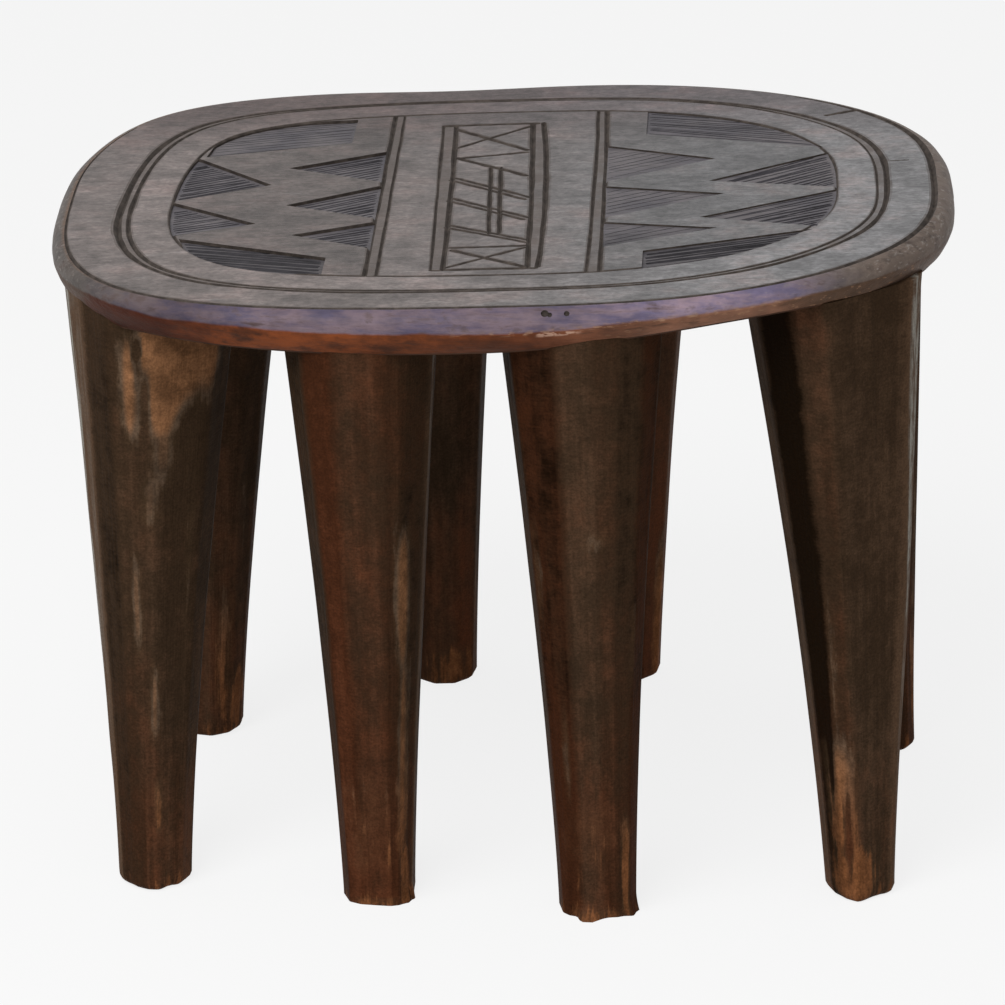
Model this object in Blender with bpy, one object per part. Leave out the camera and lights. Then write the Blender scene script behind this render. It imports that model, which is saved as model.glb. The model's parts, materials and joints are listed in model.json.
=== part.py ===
"""Carved wooden stool: an oval seat with a carved top, on eight hewn legs that taper to small feet.

Metres, +Z up, +Y to the back. The origin is on the floor, under the middle of the seat. The stool
leans to its left, as the photographed one does, so the seat is built level about its own middle and
then turned by LEAN, and each leg runs from the leaning underside down to the level floor.
"""

import math

import bmesh
import bpy
from mathutils import Matrix, Vector

# Seat blank
SEAT_WIDTH = 0.441
SEAT_DEPTH = 0.358
SEAT_HEIGHT = 0.325
SEAT_THICKNESS = 0.022
SEAT_SQUARENESS = 2.8
LEAN = math.radians(2.4)
RIM_DROP = 0.010
RIM_BULGE = 0.010
LIP_INSET = 0.006
BACK_HOLLOW_DEPTH = 0.005
BACK_HOLLOW_X = -0.045
BACK_HOLLOW_REACH = 0.060

# Carved rings: a line inside the rim, a double ring, and the edge of the carved field
RIM_LINE_WIDTH = 0.0035
RIM_LINE_DEPTH = 0.0016
OUTER_BAND = 0.0215
RING_END_WIDTH = 0.0075
RING_SIDE_WIDTH = 0.0035
RING_DEPTH = 0.0018
INNER_BAND = 0.0185
FIELD_LINE_WIDTH = 0.0022
LINE_DEPTH = 0.0014

# Carved field: two separators, the sunk teeth outside them and the corner pieces
SEPARATOR_SPACING = 0.1050
SEPARATOR_WIDTH = 0.0060
FIELD_SHIFT_X = -0.0060
POCKET_DEPTH = 0.0020
TOOTH_MIDDLE_Y = -0.0145
INNER_TOOTH_PITCH = 0.0525
INNER_TOOTH_BASE = 0.0485
INNER_TOOTH_LENGTH = 0.0500
OUTER_TOOTH_PITCH = 0.0565
OUTER_TOOTH_BASE = 0.0500
OUTER_TOOTH_LENGTH = 0.0500
CORNER_SETBACK = 0.0200
CORNER_MIDDLE_Y = -0.0060
CORNER_TIP_SPACING = 0.1280
CORNER_DROP = 0.0250

# Carved panel between the separators
PANEL_WIDTH = 0.0450
PANEL_LENGTH = 0.2220
PANEL_MIDDLE_X = -0.0070
PANEL_MIDDLE_Y = -0.0060
PANEL_TURN = math.radians(1.9)
PANEL_RAIL_WIDTH = 0.0060
PANEL_LINE_WIDTH = 0.0024
CROSS_BOX_LENGTH = 0.0380
LATTICE_BARS = 4
LATTICE_BAR_WIDTH = 0.0044
LATTICE_BAR_FALL = 0.0330
LATTICE_SPINE_LENGTH = 0.1040

# Legs
LEG_SETBACK = 0.0005
LEG_SQUARENESS = 2.5
OUTER_LEG_WIDTH = 0.0880
OUTER_LEG_BREADTH = 0.0780
INNER_LEG_WIDTH = 0.0700
INNER_LEG_BREADTH = 0.0660
FOOT_WIDTH = 0.0360
FOOT_WEAR = 0.0030
LEG_FACETS = 10
FACET_EDGE = math.radians(5.0)
TAPER_POWER = 1.35
LEG_RINGS = 8

# Tenon joints
TENON_WIDTH = 0.0380
TENON_LENGTH = 0.0130
JOINT_GAP = 0.0003

# Fineness of the curves, and how far cutters stand proud of what they cut
OVAL_POINTS = 96
FIELD_EDGE_STEPS = 7
CUTTER_LIFT = 0.0020

# Each leg: its kind, the angle round the seat at which it stands, and how far its foot is from its top.
OUTER, INNER = "outer", "inner"
LEGS = {
    "leg_front_left_outer": (OUTER, 208.0, (-0.0065, -0.0315)),
    "leg_front_left_inner": (INNER, 258.5, (0.0065, 0.0160)),
    "leg_front_right_inner": (INNER, 276.1, (0.0105, 0.0105)),
    "leg_front_right_outer": (OUTER, 332.0, (0.0175, -0.0255)),
    "leg_back_left_outer": (OUTER, 149.5, (-0.0025, -0.0210)),
    "leg_back_left_inner": (INNER, 97.5, (0.0065, -0.0020)),
    "leg_back_right_inner": (INNER, 80.9, (0.0040, 0.0075)),
    "leg_back_right_outer": (OUTER, 25.0, (0.0320, -0.0145)),
}
LEG_SIZES = {
    OUTER: (OUTER_LEG_WIDTH, OUTER_LEG_BREADTH),
    INNER: (INNER_LEG_WIDTH, INNER_LEG_BREADTH),
}

# Colours: weathered grey-brown top, dark oiled legs
SEAT_COLOUR = (0.135, 0.115, 0.103)
LEG_COLOUR = (0.060, 0.028, 0.017)
WOOD_ROUGHNESS = 0.55

# The edge of the top face, and the two ovals carved inside it, as half sizes
TOP_HALF_WIDTH = SEAT_WIDTH / 2 - RIM_BULGE
TOP_HALF_DEPTH = SEAT_DEPTH / 2 - RIM_BULGE
RING_HALF_WIDTH = TOP_HALF_WIDTH - OUTER_BAND - RING_END_WIDTH / 2
RING_HALF_DEPTH = TOP_HALF_DEPTH - OUTER_BAND - RING_SIDE_WIDTH / 2
FIELD_HALF_WIDTH = RING_HALF_WIDTH - RING_END_WIDTH / 2 - INNER_BAND
FIELD_HALF_DEPTH = RING_HALF_DEPTH - RING_SIDE_WIDTH / 2 - INNER_BAND
# Heights in the seat's own frame, whose origin is on the rim's widest line
TOP_Z = RIM_DROP
UNDER_Z = RIM_DROP - SEAT_THICKNESS


def wood(name, colour):
    """A plain wood material."""
    material = bpy.data.materials.new(name)
    material.use_nodes = True
    shader = material.node_tree.nodes["Principled BSDF"]
    shader.inputs["Base Color"].default_value = (*colour, 1.0)
    shader.inputs["Roughness"].default_value = WOOD_ROUGHNESS
    shader.inputs["Metallic"].default_value = 0.0
    return material


def make_object(name, builder, parent, collection=None):
    """Turns a bmesh into a named object with outward normals."""
    bmesh.ops.recalc_face_normals(builder, faces=builder.faces)
    mesh = bpy.data.meshes.new(name)
    builder.to_mesh(mesh)
    builder.free()
    made = bpy.data.objects.new(name, mesh)
    (collection or bpy.context.scene.collection).objects.link(made)
    made.parent = parent
    return made


def loft(rings):
    """A closed solid through rings of equal point count, with flat caps on the first and last ring."""
    builder = bmesh.new()
    rows = [[builder.verts.new(point) for point in ring] for ring in rings]
    count = len(rows[0])
    for low, high in zip(rows, rows[1:]):
        for i in range(count):
            j = (i + 1) % count
            builder.faces.new((low[i], low[j], high[j], high[i]))
    builder.faces.new(rows[0])
    builder.faces.new(rows[-1])
    return builder


def prism(outline, low, high):
    """An upright prism over a plan outline."""
    return loft([[(x, y, z) for x, y in outline] for z in (low, high)])


def signed_power(value, power):
    """A power that keeps the sign."""
    return math.copysign(abs(value) ** power, value)


def oval_point(angle, half_width, half_depth):
    """A point of the seat's squarish oval, at an angle round its middle."""
    power = 2.0 / SEAT_SQUARENESS
    return Vector((half_width * signed_power(math.cos(angle), power),
                   half_depth * signed_power(math.sin(angle), power)))


def oval_outward(point, half_width, half_depth):
    """The direction square to the oval at one of its points."""
    power = SEAT_SQUARENESS - 1.0
    return Vector((signed_power(point.x / half_width, power) / half_width,
                   signed_power(point.y / half_depth, power) / half_depth)).normalized()


def oval_reach(along, half_along, half_across):
    """How far the oval reaches to the side, at a distance along one of its axes."""
    share = min(abs(along) / half_along, 1.0)
    return half_across * (1.0 - share ** SEAT_SQUARENESS) ** (1.0 / SEAT_SQUARENESS)


def oval_angles():
    """Angles that spread points evenly round the oval."""
    power = SEAT_SQUARENESS / 2.0
    angles = []
    for i in range(OVAL_POINTS):
        turn = 2.0 * math.pi * i / OVAL_POINTS
        angles.append(math.atan2(signed_power(math.sin(turn), power), signed_power(math.cos(turn), power)))
    return angles


def back_hollow(point):
    """Moves a point of the rim into its shallow hollow along the back."""
    if point.y <= 0.0:
        return point
    share = (point.x - BACK_HOLLOW_X) / BACK_HOLLOW_REACH
    return Vector((point.x, point.y - BACK_HOLLOW_DEPTH * math.exp(-share * share)))


def seat_frame():
    """The seat's place: its middle, on the rim's widest line, over the origin and turned by the lean."""
    middle = Vector((0.0, 0.0, SEAT_HEIGHT - RIM_DROP / math.cos(LEAN)))
    return Matrix.Translation(middle) @ Matrix.Rotation(-LEAN, 4, "Y")


def rim_ring(inset, z):
    """One ring of the seat's side, this far inside its widest line."""
    ring = []
    for angle in oval_angles():
        point = back_hollow(oval_point(angle, SEAT_WIDTH / 2 - inset, SEAT_DEPTH / 2 - inset))
        ring.append((point.x, point.y, z))
    return ring


def seat_blank():
    """The slab: a drawn-in lip below the widest line and a rolled rim above it."""
    rings = [rim_ring(LIP_INSET, UNDER_Z)]
    for share in (0.35, 0.7, 1.0):
        rings.append(rim_ring(LIP_INSET * (1.0 - share) ** 1.5, UNDER_Z * (1.0 - share)))
    for turn in (0.3, 0.6, 0.85, 1.0):
        quarter = turn * math.pi / 2
        rings.append(rim_ring(RIM_BULGE * (1.0 - math.cos(quarter)), RIM_DROP * math.sin(quarter)))
    return loft(rings)


def groove_profile(width, depth, double):
    """Across a V groove, or two side by side with a low ridge between: (offset, height) points."""
    spread = (depth + CUTTER_LIFT) / depth
    if not double:
        half = width / 2 * spread
        return [(-half, CUTTER_LIFT), (0.0, -depth), (half, CUTTER_LIFT)]
    quarter = width / 4
    half = quarter + quarter * spread
    ridge = depth / 3
    return [(-half, CUTTER_LIFT), (-quarter, -depth), (0.0, -ridge), (quarter, -depth), (half, CUTTER_LIFT)]


def straight_groove(start, end, width, depth, double=False):
    """A cutter for a straight groove in the top face."""
    start, end = Vector(start), Vector(end)
    along = (end - start).normalized()
    across = Vector((-along.y, along.x))
    rings = []
    for point in (start, end):
        ring = []
        for offset, height in groove_profile(width, depth, double):
            place = point + across * offset
            ring.append((place.x, place.y, TOP_Z + height))
        rings.append(ring)
    return loft(rings)


def oval_groove(half_width, half_depth, end_width, side_width, depth, double=False, hollowed=False):
    """A cutter for a groove round the seat, which may be wider at the ends than along the sides."""
    builder = bmesh.new()
    rows = []
    for angle in oval_angles():
        middle = oval_point(angle, half_width, half_depth)
        outward = oval_outward(middle, half_width, half_depth)
        width = side_width + (end_width - side_width) * (middle.x / half_width) ** 2
        if hollowed:
            middle = back_hollow(middle)
        row = []
        for offset, height in groove_profile(width, depth, double):
            place = middle + outward * offset
            row.append(builder.verts.new((place.x, place.y, TOP_Z + height)))
        rows.append(row)
    points = len(rows[0])
    for row, following in zip(rows, rows[1:] + rows[:1]):
        for k in range(points):
            m = (k + 1) % points
            builder.faces.new((row[k], row[m], following[m], following[k]))
    return builder


def panel_cutters():
    """The middle panel: double rails at its sides, a crossed box at each end and slanted bars between."""
    half_width, half_length = PANEL_WIDTH / 2, PANEL_LENGTH / 2
    inside = half_width - PANEL_RAIL_WIDTH / 2
    box = half_length - CROSS_BOX_LENGTH
    cutters = []
    for side in (-1, 1):
        rail = side * half_width
        cutters.append(straight_groove((rail, -half_length), (rail, half_length),
                                       PANEL_RAIL_WIDTH, RING_DEPTH, double=True))
        near, far = side * box, side * half_length
        for y in (near, far):
            cutters.append(straight_groove((-inside, y), (inside, y), PANEL_LINE_WIDTH, LINE_DEPTH))
        for slope in (-1, 1):
            cutters.append(straight_groove((-inside * slope, near), (inside * slope, far),
                                           PANEL_LINE_WIDTH, LINE_DEPTH))
    first = box - LATTICE_BAR_WIDTH
    last = LATTICE_BAR_FALL - first
    for i in range(LATTICE_BARS):
        high = first + (last - first) * i / (LATTICE_BARS - 1)
        cutters.append(straight_groove((-inside, high), (inside, high - LATTICE_BAR_FALL),
                                       LATTICE_BAR_WIDTH, LINE_DEPTH, double=True))
    spine = LATTICE_SPINE_LENGTH / 2
    cutters.append(straight_groove((0.0, -spine), (0.0, spine), LATTICE_BAR_WIDTH, LINE_DEPTH, double=True))
    place = Matrix.Translation((PANEL_MIDDLE_X, PANEL_MIDDLE_Y, 0.0)) @ Matrix.Rotation(PANEL_TURN, 4, "Z")
    for cutter in cutters:
        cutter.transform(place)
    return cutters


def field_side(y):
    """How far the field's oval edge is from the middle, at a height up the plan."""
    return oval_reach(y, FIELD_HALF_DEPTH, FIELD_HALF_WIDTH)


def corner_outline(side, base, end):
    """A sunk corner piece: its straight inner sides, then the oval edge of the field."""
    tip_y = CORNER_MIDDLE_Y + end * CORNER_TIP_SPACING / 2
    tip_x = side * field_side(tip_y)
    inner_x = base + side * CORNER_SETBACK
    outline = [(inner_x, tip_y + end * CORNER_DROP)]
    for i in range(FIELD_EDGE_STEPS + 1):
        share = i / FIELD_EDGE_STEPS
        x = inner_x + (tip_x - inner_x) * (1.0 - (1.0 - share) ** 2)
        outline.append((x, end * oval_reach(x, FIELD_HALF_WIDTH, FIELD_HALF_DEPTH)))
    return outline


def tooth_outlines(side):
    """The sunk teeth and corner pieces that leave a zigzag band standing, on one side of the seat."""
    base = FIELD_SHIFT_X + side * (SEPARATOR_SPACING + SEPARATOR_WIDTH) / 2
    outlines = [corner_outline(side, base, end) for end in (-1, 1)]
    half = INNER_TOOTH_BASE / 2
    for row in (-1, 0, 1):
        y = TOOTH_MIDDLE_Y + row * INNER_TOOTH_PITCH
        outlines.append([(base, y + half), (base + side * INNER_TOOTH_LENGTH, y), (base, y - half)])
    for row in (-0.5, 0.5):
        y = TOOTH_MIDDLE_Y + row * OUTER_TOOTH_PITCH
        outline = [(side * (FIELD_HALF_WIDTH - OUTER_TOOTH_LENGTH), y)]
        for share in (-0.5, -0.25, 0.0, 0.25, 0.5):
            edge_y = y + share * OUTER_TOOTH_BASE
            outline.append((side * field_side(edge_y), edge_y))
        outlines.append(outline)
    return outlines


def carving_cutters():
    """All the carving of the top face, as cutters in the seat's own frame."""
    cutters = [
        oval_groove(TOP_HALF_WIDTH, TOP_HALF_DEPTH, RIM_LINE_WIDTH, RIM_LINE_WIDTH,
                    RIM_LINE_DEPTH, hollowed=True),
        oval_groove(RING_HALF_WIDTH, RING_HALF_DEPTH, RING_END_WIDTH, RING_SIDE_WIDTH,
                    RING_DEPTH, double=True),
        oval_groove(FIELD_HALF_WIDTH, FIELD_HALF_DEPTH, FIELD_LINE_WIDTH, FIELD_LINE_WIDTH, LINE_DEPTH),
    ]
    for side in (-1, 1):
        x = FIELD_SHIFT_X + side * SEPARATOR_SPACING / 2
        reach = oval_reach(x, FIELD_HALF_WIDTH, FIELD_HALF_DEPTH)
        cutters.append(straight_groove((x, -reach), (x, reach), SEPARATOR_WIDTH, RING_DEPTH, double=True))
        for outline in tooth_outlines(side):
            cutters.append(prism(outline, TOP_Z - POCKET_DEPTH, TOP_Z + CUTTER_LIFT))
    return cutters + panel_cutters()


def leg_seat(kind, angle):
    """In the seat's frame: where a leg's axis meets the underside, and the ways outward and along the rim."""
    half_width, half_depth = SEAT_WIDTH / 2 - LIP_INSET, SEAT_DEPTH / 2 - LIP_INSET
    lip = oval_point(math.radians(angle), half_width, half_depth)
    outward = oval_outward(lip, half_width, half_depth)
    middle = lip - outward * (LEG_SETBACK + LEG_SIZES[kind][1] / 2)
    along = Vector((-outward.y, outward.x, 0.0))
    return Vector((middle.x, middle.y, UNDER_Z)), outward.to_3d(), along


def socket_ring(seat, radius, rise):
    """A round ring about a leg's axis, this far above the underside, in the seat's frame."""
    middle, outward, along = seat
    ring = []
    for i in range(2 * LEG_FACETS):
        turn = math.pi * i / LEG_FACETS
        reach = along * math.cos(turn) + outward * math.sin(turn)
        ring.append(middle + reach * radius + Vector((0.0, 0.0, rise)))
    return ring


def mortise_cutters():
    """Blind round sockets in the underside, one for each leg's tenon."""
    radius = TENON_WIDTH / 2 + JOINT_GAP
    cutters = []
    for kind, angle, _ in LEGS.values():
        seat = leg_seat(kind, angle)
        mouth = socket_ring(seat, radius, -CUTTER_LIFT)
        end = socket_ring(seat, radius, TENON_LENGTH)
        cutters.append(loft([mouth, end]))
    return cutters


def cut(target, name, builders, parent):
    """Cuts a group of cutters from an object."""
    group = bpy.data.collections.new(name)
    bpy.context.scene.collection.children.link(group)
    for i, builder in enumerate(builders):
        cutter = make_object(f"{name}_{i}", builder, parent, group)
        cutter.hide_render = True
        cutter.display_type = "WIRE"
    boolean = target.modifiers.new(name, "BOOLEAN")
    boolean.operation = "DIFFERENCE"
    boolean.solver = "EXACT"
    boolean.operand_type = "COLLECTION"
    boolean.collection = group


def make_seat(frame_empty):
    """The carved seat, with sockets for the legs underneath."""
    seat = make_object("seat", seat_blank(), frame_empty)
    seat.data.materials.append(wood("weathered_top", SEAT_COLOUR))
    seat.data.shade_smooth()
    seat.data.set_sharp_from_angle(angle=math.radians(25.0))
    cut(seat, "carving", carving_cutters(), frame_empty)
    cut(seat, "mortise", mortise_cutters(), frame_empty)


def facet_turns():
    """Directions of a hewn leg's corners, each split in two by a narrow worn edge."""
    turns = []
    for i in range(LEG_FACETS):
        corner = 2.0 * math.pi * i / LEG_FACETS
        turns += [corner - FACET_EDGE, corner + FACET_EDGE]
    return turns


def leg_rings(kind, angle, foot_shift, frame):
    """Rings of one leg in world space, from its worn foot up to the end of its tenon."""
    seat = leg_seat(kind, angle)
    middle, outward, along = seat
    half_width, half_breadth = LEG_SIZES[kind][0] / 2, LEG_SIZES[kind][1] / 2
    top = frame @ (middle - Vector((0.0, 0.0, JOINT_GAP)))
    foot = Vector((top.x + foot_shift[0], top.y + foot_shift[1], 0.0))
    turned = frame.to_3x3()

    def ring_at(share, foot_half):
        """The ring at a share of the way up from the round foot to the squarer shoulder."""
        ring = []
        for turn in facet_turns():
            low = (along * math.cos(turn) + outward * math.sin(turn)) * foot_half
            side = signed_power(math.cos(turn), 2.0 / LEG_SQUARENESS) * half_width
            face = signed_power(math.sin(turn), 2.0 / LEG_SQUARENESS) * half_breadth
            high = turned @ (along * side + outward * face)
            ring.append(foot.lerp(top, share) + low.lerp(high, share ** TAPER_POWER))
        return ring

    wear = FOOT_WEAR / top.z
    rings = [ring_at(0.0, FOOT_WIDTH / 2 - FOOT_WEAR)]
    rings += [ring_at(wear + (1.0 - wear) * i / LEG_RINGS, FOOT_WIDTH / 2) for i in range(LEG_RINGS + 1)]
    for rise in (-JOINT_GAP, TENON_LENGTH - JOINT_GAP):
        rings.append([frame @ point for point in socket_ring(seat, TENON_WIDTH / 2, rise)])
    return rings


def make_leg(name, kind, angle, foot_shift, frame):
    """One tapered leg with its tenon."""
    leg = make_object(name, loft(leg_rings(kind, angle, foot_shift, frame)), None)
    leg.data.materials.append(wood(name + "_wood", LEG_COLOUR))
    leg.data.shade_smooth()
    leg.data.set_sharp_from_angle(angle=math.radians(12.0))


def main():
    for leftover in list(bpy.data.objects):
        bpy.data.objects.remove(leftover, do_unlink=True)
    frame = seat_frame()
    frame_empty = bpy.data.objects.new("seat_frame", None)
    bpy.context.scene.collection.objects.link(frame_empty)
    frame_empty.matrix_world = frame
    make_seat(frame_empty)
    for name, (kind, angle, foot_shift) in LEGS.items():
        make_leg(name, kind, angle, foot_shift, frame)


main()
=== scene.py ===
"""Looks of the carved wooden stool.

The seat is a hewn slab, cut with strokes of a V gouge and with sunk, hatched pockets. The eight legs are
hewn in long facets. Metres, +Z up, +Y to the back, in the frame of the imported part. The carving is drawn in
millimetres on the plan of the seat, which is worked level about its own middle and then leaned over like
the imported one.
"""

import collections
import json
import math
import random

import bpy
from mathutils import Matrix, Vector, noise


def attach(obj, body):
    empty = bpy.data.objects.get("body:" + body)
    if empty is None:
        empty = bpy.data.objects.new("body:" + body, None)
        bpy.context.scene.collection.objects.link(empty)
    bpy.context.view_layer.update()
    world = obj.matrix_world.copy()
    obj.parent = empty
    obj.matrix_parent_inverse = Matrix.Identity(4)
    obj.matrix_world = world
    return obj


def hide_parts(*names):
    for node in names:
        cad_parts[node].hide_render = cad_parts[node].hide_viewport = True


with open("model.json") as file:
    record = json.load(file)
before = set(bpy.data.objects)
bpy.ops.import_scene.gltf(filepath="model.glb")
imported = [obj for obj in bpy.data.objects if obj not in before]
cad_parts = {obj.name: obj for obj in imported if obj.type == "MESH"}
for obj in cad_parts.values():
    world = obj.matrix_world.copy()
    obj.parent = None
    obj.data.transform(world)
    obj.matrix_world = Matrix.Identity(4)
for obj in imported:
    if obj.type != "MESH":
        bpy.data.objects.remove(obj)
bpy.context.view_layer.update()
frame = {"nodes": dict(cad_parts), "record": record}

MM = 0.001

# Camera, at the photograph's viewing angle
CAMERA_PLACE = Vector((0.1100, -2.1238, 1.0391))
CAMERA_AIM = Vector((-0.0012, -0.0018, 0.1589))
CAMERA_LENS = 162.93
CAMERA_SENSOR = 36.0

# Floor and light
FLOOR_SIZE = 60.0
FLOOR_PAINT = (0.85, 0.85, 0.85)
FLOOR_GLOW = (0.970, 0.970, 0.970)
FLOOR_GLOW_SHARE = 0.85
PAPER = (0.913, 0.913, 0.913)
SURROUND_STRENGTH = 0.5
LAMP_PLACE = (-0.7, -1.3, 2.0)
LAMP_AIM = (0.0, 0.0, 0.2)
LAMP_SIZE = 1.6
LAMP_ENERGY = 40.0

# Seat blank
TOP_HALF = (0.2115, 0.1690)
TOP_SHIFT_X = -0.0010
TOP_Z = 0.0100
SEAT_THICKNESS = 0.0220
ROLL_DROP = 0.0100
ROLL_REACH = 0.0090
ROLL_REACH_SKEW = 0.0010
LIP_HEIGHT = 0.0120
LIP_INSET = 0.0060
# The share of its reach that the rolled edge keeps where it is thinnest
LEAST_ROLL_REACH = 0.3
UNDERSIDE_INSET = 0.0300
# Rings round the lip's lower edge and the widest line: how far in they lie, and how high over it
LIP_EDGE = ((0.0040, 0.0), (0.0008, 0.0002), (0.0, 0.0012))
WIDEST_EDGE = ((0.0003, -0.0010), (0.0002, 0.0006))
# Rings up the lip, as shares of its height, and round the rolled edge, as shares of a quarter turn
LIP_SHARES = (0.3, 0.6, 0.85)
LIP_POWER = 1.5
ROLL_TURNS = (0.25, 0.5, 0.72, 0.9)
SQUARENESS = 2.8
# Squareness of the back right, back left, front left and front right corners
CORNER_SQUARENESS = (2.55, 3.70, 3.10, 2.50)
BACK_HOLLOW_DEPTH = 0.0050
BACK_HOLLOW_X = -0.0350
BACK_HOLLOW_REACH = 0.0500
# The left end is fullest behind its middle
LEFT_BULGE = 0.0030
LEFT_BULGE_Y = 0.0450
LEFT_BULGE_REACH = 0.0600
RIM_POINTS = 240
# Along the front edge: x, then how full the rolled edge and the lip under it are there
FRONT_RIM = (
    (-0.215, 1.00, 1.00), (-0.205, 0.76, 1.18), (-0.185, 0.58, 1.30), (-0.161, 0.66, 1.10),
    (-0.115, 0.75, 1.12), (-0.050, 0.92, 1.10),
    (0.015, 0.97, 1.00), (0.060, 0.76, 0.88), (0.110, 0.62, 0.70), (0.150, 0.63, 0.75),
    (0.186, 0.80, 1.00), (0.215, 1.00, 1.00),
)
UNDERSIDE_RINGS = 3
# Height up the rim of each ring of the blank: nothing under the lip, a half at the widest line, and one at
# the top
RIM_HEIGHTS = (0.0, 0.0, 0.0, 0.02, 0.15, 0.30, 0.42, 0.48, 0.52, 0.62, 0.75, 0.86, 0.95, 1.0)
FINISH_NAMES = ("top", "rim", "under", "shoulder", "line", "pocket", "hatch", "band")
FINISH = {name: number for number, name in enumerate(FINISH_NAMES)}
# Edges that turn more than this, in degrees, stay sharp
SEAT_CREASE = 28.0
LEG_CREASE = 40.0

# Carved rings: half sizes, and how far the lines of the double ring stand off its middle
RING_HALF = (0.18525, 0.14575)
RING_SPREAD = (0.0023, 0.0011)
# The field inside the rings, in millimetres on the plan and in metres
FIELD_PLAN_HALF = (163.0, 125.5)
FIELD_HALF = (FIELD_PLAN_HALF[0] * MM, FIELD_PLAN_HALF[1] * MM)
# Widths of the rings' lines at the left end, at the right end and along the sides
OUTER_RING_WIDTHS = (3.5, 3.2, 2.2)
INNER_RING_WIDTHS = (2.8, 1.6, 1.9)
FIELD_LINE_WIDTH = 1.7
# Rings by hand: a slow and a quick wave round the seat, and how much they move and widen a line
RING_WAVES = (3.0, 14.0)
RING_WANDER = 0.004
RING_SWELL = (0.25, 0.2)
# Depth of the pockets on the left and on the right
POCKET_DEPTHS = (0.0017, 0.0009)
# The rim line runs round the front only: degrees round the seat, and its width there
RIM_LINE = ((150.0, 0.6), (185.0, 1.2), (208.0, 2.2), (240.0, 2.6), (270.0, 2.2), (310.0, 2.6), (345.0, 3.2),
            (372.0, 3.2), (395.0, 2.4), (412.0, 0.8))
RIM_LINE_STEPS = 190
RIM_LINE_WAVE = 60.0
RIM_LINE_SWELL = 0.2
# Sections of the gouge, in half widths of a stroke: a V with worn shoulders for the lines, a plain V for
# the hatching and a shallow flat one for the bands
LINE_SECTION = ((2.35, 0.11), (1.0, -0.10), (0.0, -1.05), (-1.0, -0.10), (-2.35, 0.11))
HATCH_SECTION = ((1.08, 0.09), (0.0, -1.1), (-1.08, 0.09))
BAND_SECTION = ((1.0, 0.10), (0.90, -0.12), (-0.90, -0.12), (-1.0, 0.10))
# How upright the normal of a cutter's face is where it leaves a shoulder or a floor
SHOULDER_SLOPE = 0.9
# Strokes by hand: the tip's length in millimetres, its longest share of a step, and how wide it ends
TIP_LENGTH = 1.5
TIP_SHARE = 0.4
TIP_END = 0.55
CARVING_SEED = 11
# Sunk bands between double lines: widths of the one round the seat at the left end, right end and sides,
# then start, end, width and bow of the straight ones
RING_BAND_WIDTHS = (5.0, 5.0, 2.6)
BANDS = (
    ((-60.2, 123.0), (-56.5, -123.0), 4.6, 0.0),
    ((44.6, 123.5), (47.8, -124.0), 4.6, 0.8),
    ((-33.3, 105.0), (-25.9, -116.8), 5.6, 0.3),
    ((12.0, 106.0), (19.1, -116.3), 4.6, 1.6),
)

# Straight strokes of the gouge on the plan: start, end, width, and how far the stroke bows to its left
STROKES = (
    ((-62.5, 123.5), (-59.2, -123.5), 2.6, 0.0),
    ((-57.8, 123.5), (-53.8, -123.5), 1.7, 0.0),
    ((42.5, 124.0), (44.8, -124.5), 2.0, 0.8),
    ((46.8, 124.0), (50.8, -124.5), 2.7, 0.8),
    ((-36.5, 105.2), (-28.5, -117.0), 1.8, 0.0),
    ((-30.2, 105.2), (-23.2, -117.0), 2.9, 0.6),
    ((9.2, 106.0), (16.8, -116.5), 2.9, 0.8),
    ((14.8, 107.0), (21.5, -116.5), 2.9, 2.4),
    ((-37.5, 104.6), (13.0, 105.8), 2.6, 0.0),
    ((-29.5, -117.0), (22.0, -116.6), 2.6, 0.0),
    ((-30.0, 99.0), (9.6, 60.8), 3.0, 0.0),
    ((8.5, 101.0), (-30.0, 65.2), 2.3, 0.0),
    ((-27.5, 50.0), (9.8, 58.6), 2.3, 0.0),
    ((-27.5, 52.2), (11.0, 20.2), 3.0, 0.0),
    ((-22.5, -85.8), (15.2, -84.6), 2.3, 0.0),
    ((-21.0, -88.8), (16.2, -115.2), 3.0, 0.0),
    ((15.2, -86.4), (-22.0, -114.2), 2.2, 0.0),
    ((158.5, 106.5), (181.5, 118.5), 2.4, 0.0),
    ((190.0, 30.4), (199.5, 31.4), 0.9, 0.0),
)
# Double strokes: start, end, width of each, and the space between their middles
DOUBLE_STROKES = (
    ((-27.5, 18.8), (13.0, -15.2), 2.3, 3.7),
    ((-26.5, -13.2), (13.8, -45.6), 2.3, 3.6),
    ((-25.5, -53.4), (15.6, -78.8), 2.3, 3.4),
    ((-6.0, 35.0), (-1.5, -67.0), 2.4, 5.0),
)

# Sunk pockets on the plan
# Corner pieces: side, end, x of the inner edge, y of the notch and y of the tip on the oval
CORNER_POCKETS = (
    (-1, 1, -81.8, 79.7, 62.2),
    (-1, -1, -79.8, -95.8, -63.8),
    (1, 1, 68.0, 83.2, 55.2),
    (1, -1, 70.5, -95.8, -69.8),
)
# Outer teeth: side, y where the upper edge meets the oval, inner point, y where the lower edge meets it
OUTER_POCKETS = (
    (-1, 58.2, (-116.5, 15.2), -6.8),
    (-1, -8.8, (-118.5, -43.8), -58.8),
    (1, 46.2, (100.5, 6.2), -7.8),
    (1, -11.8, (96.5, -48.8), -65.8),
)
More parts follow.
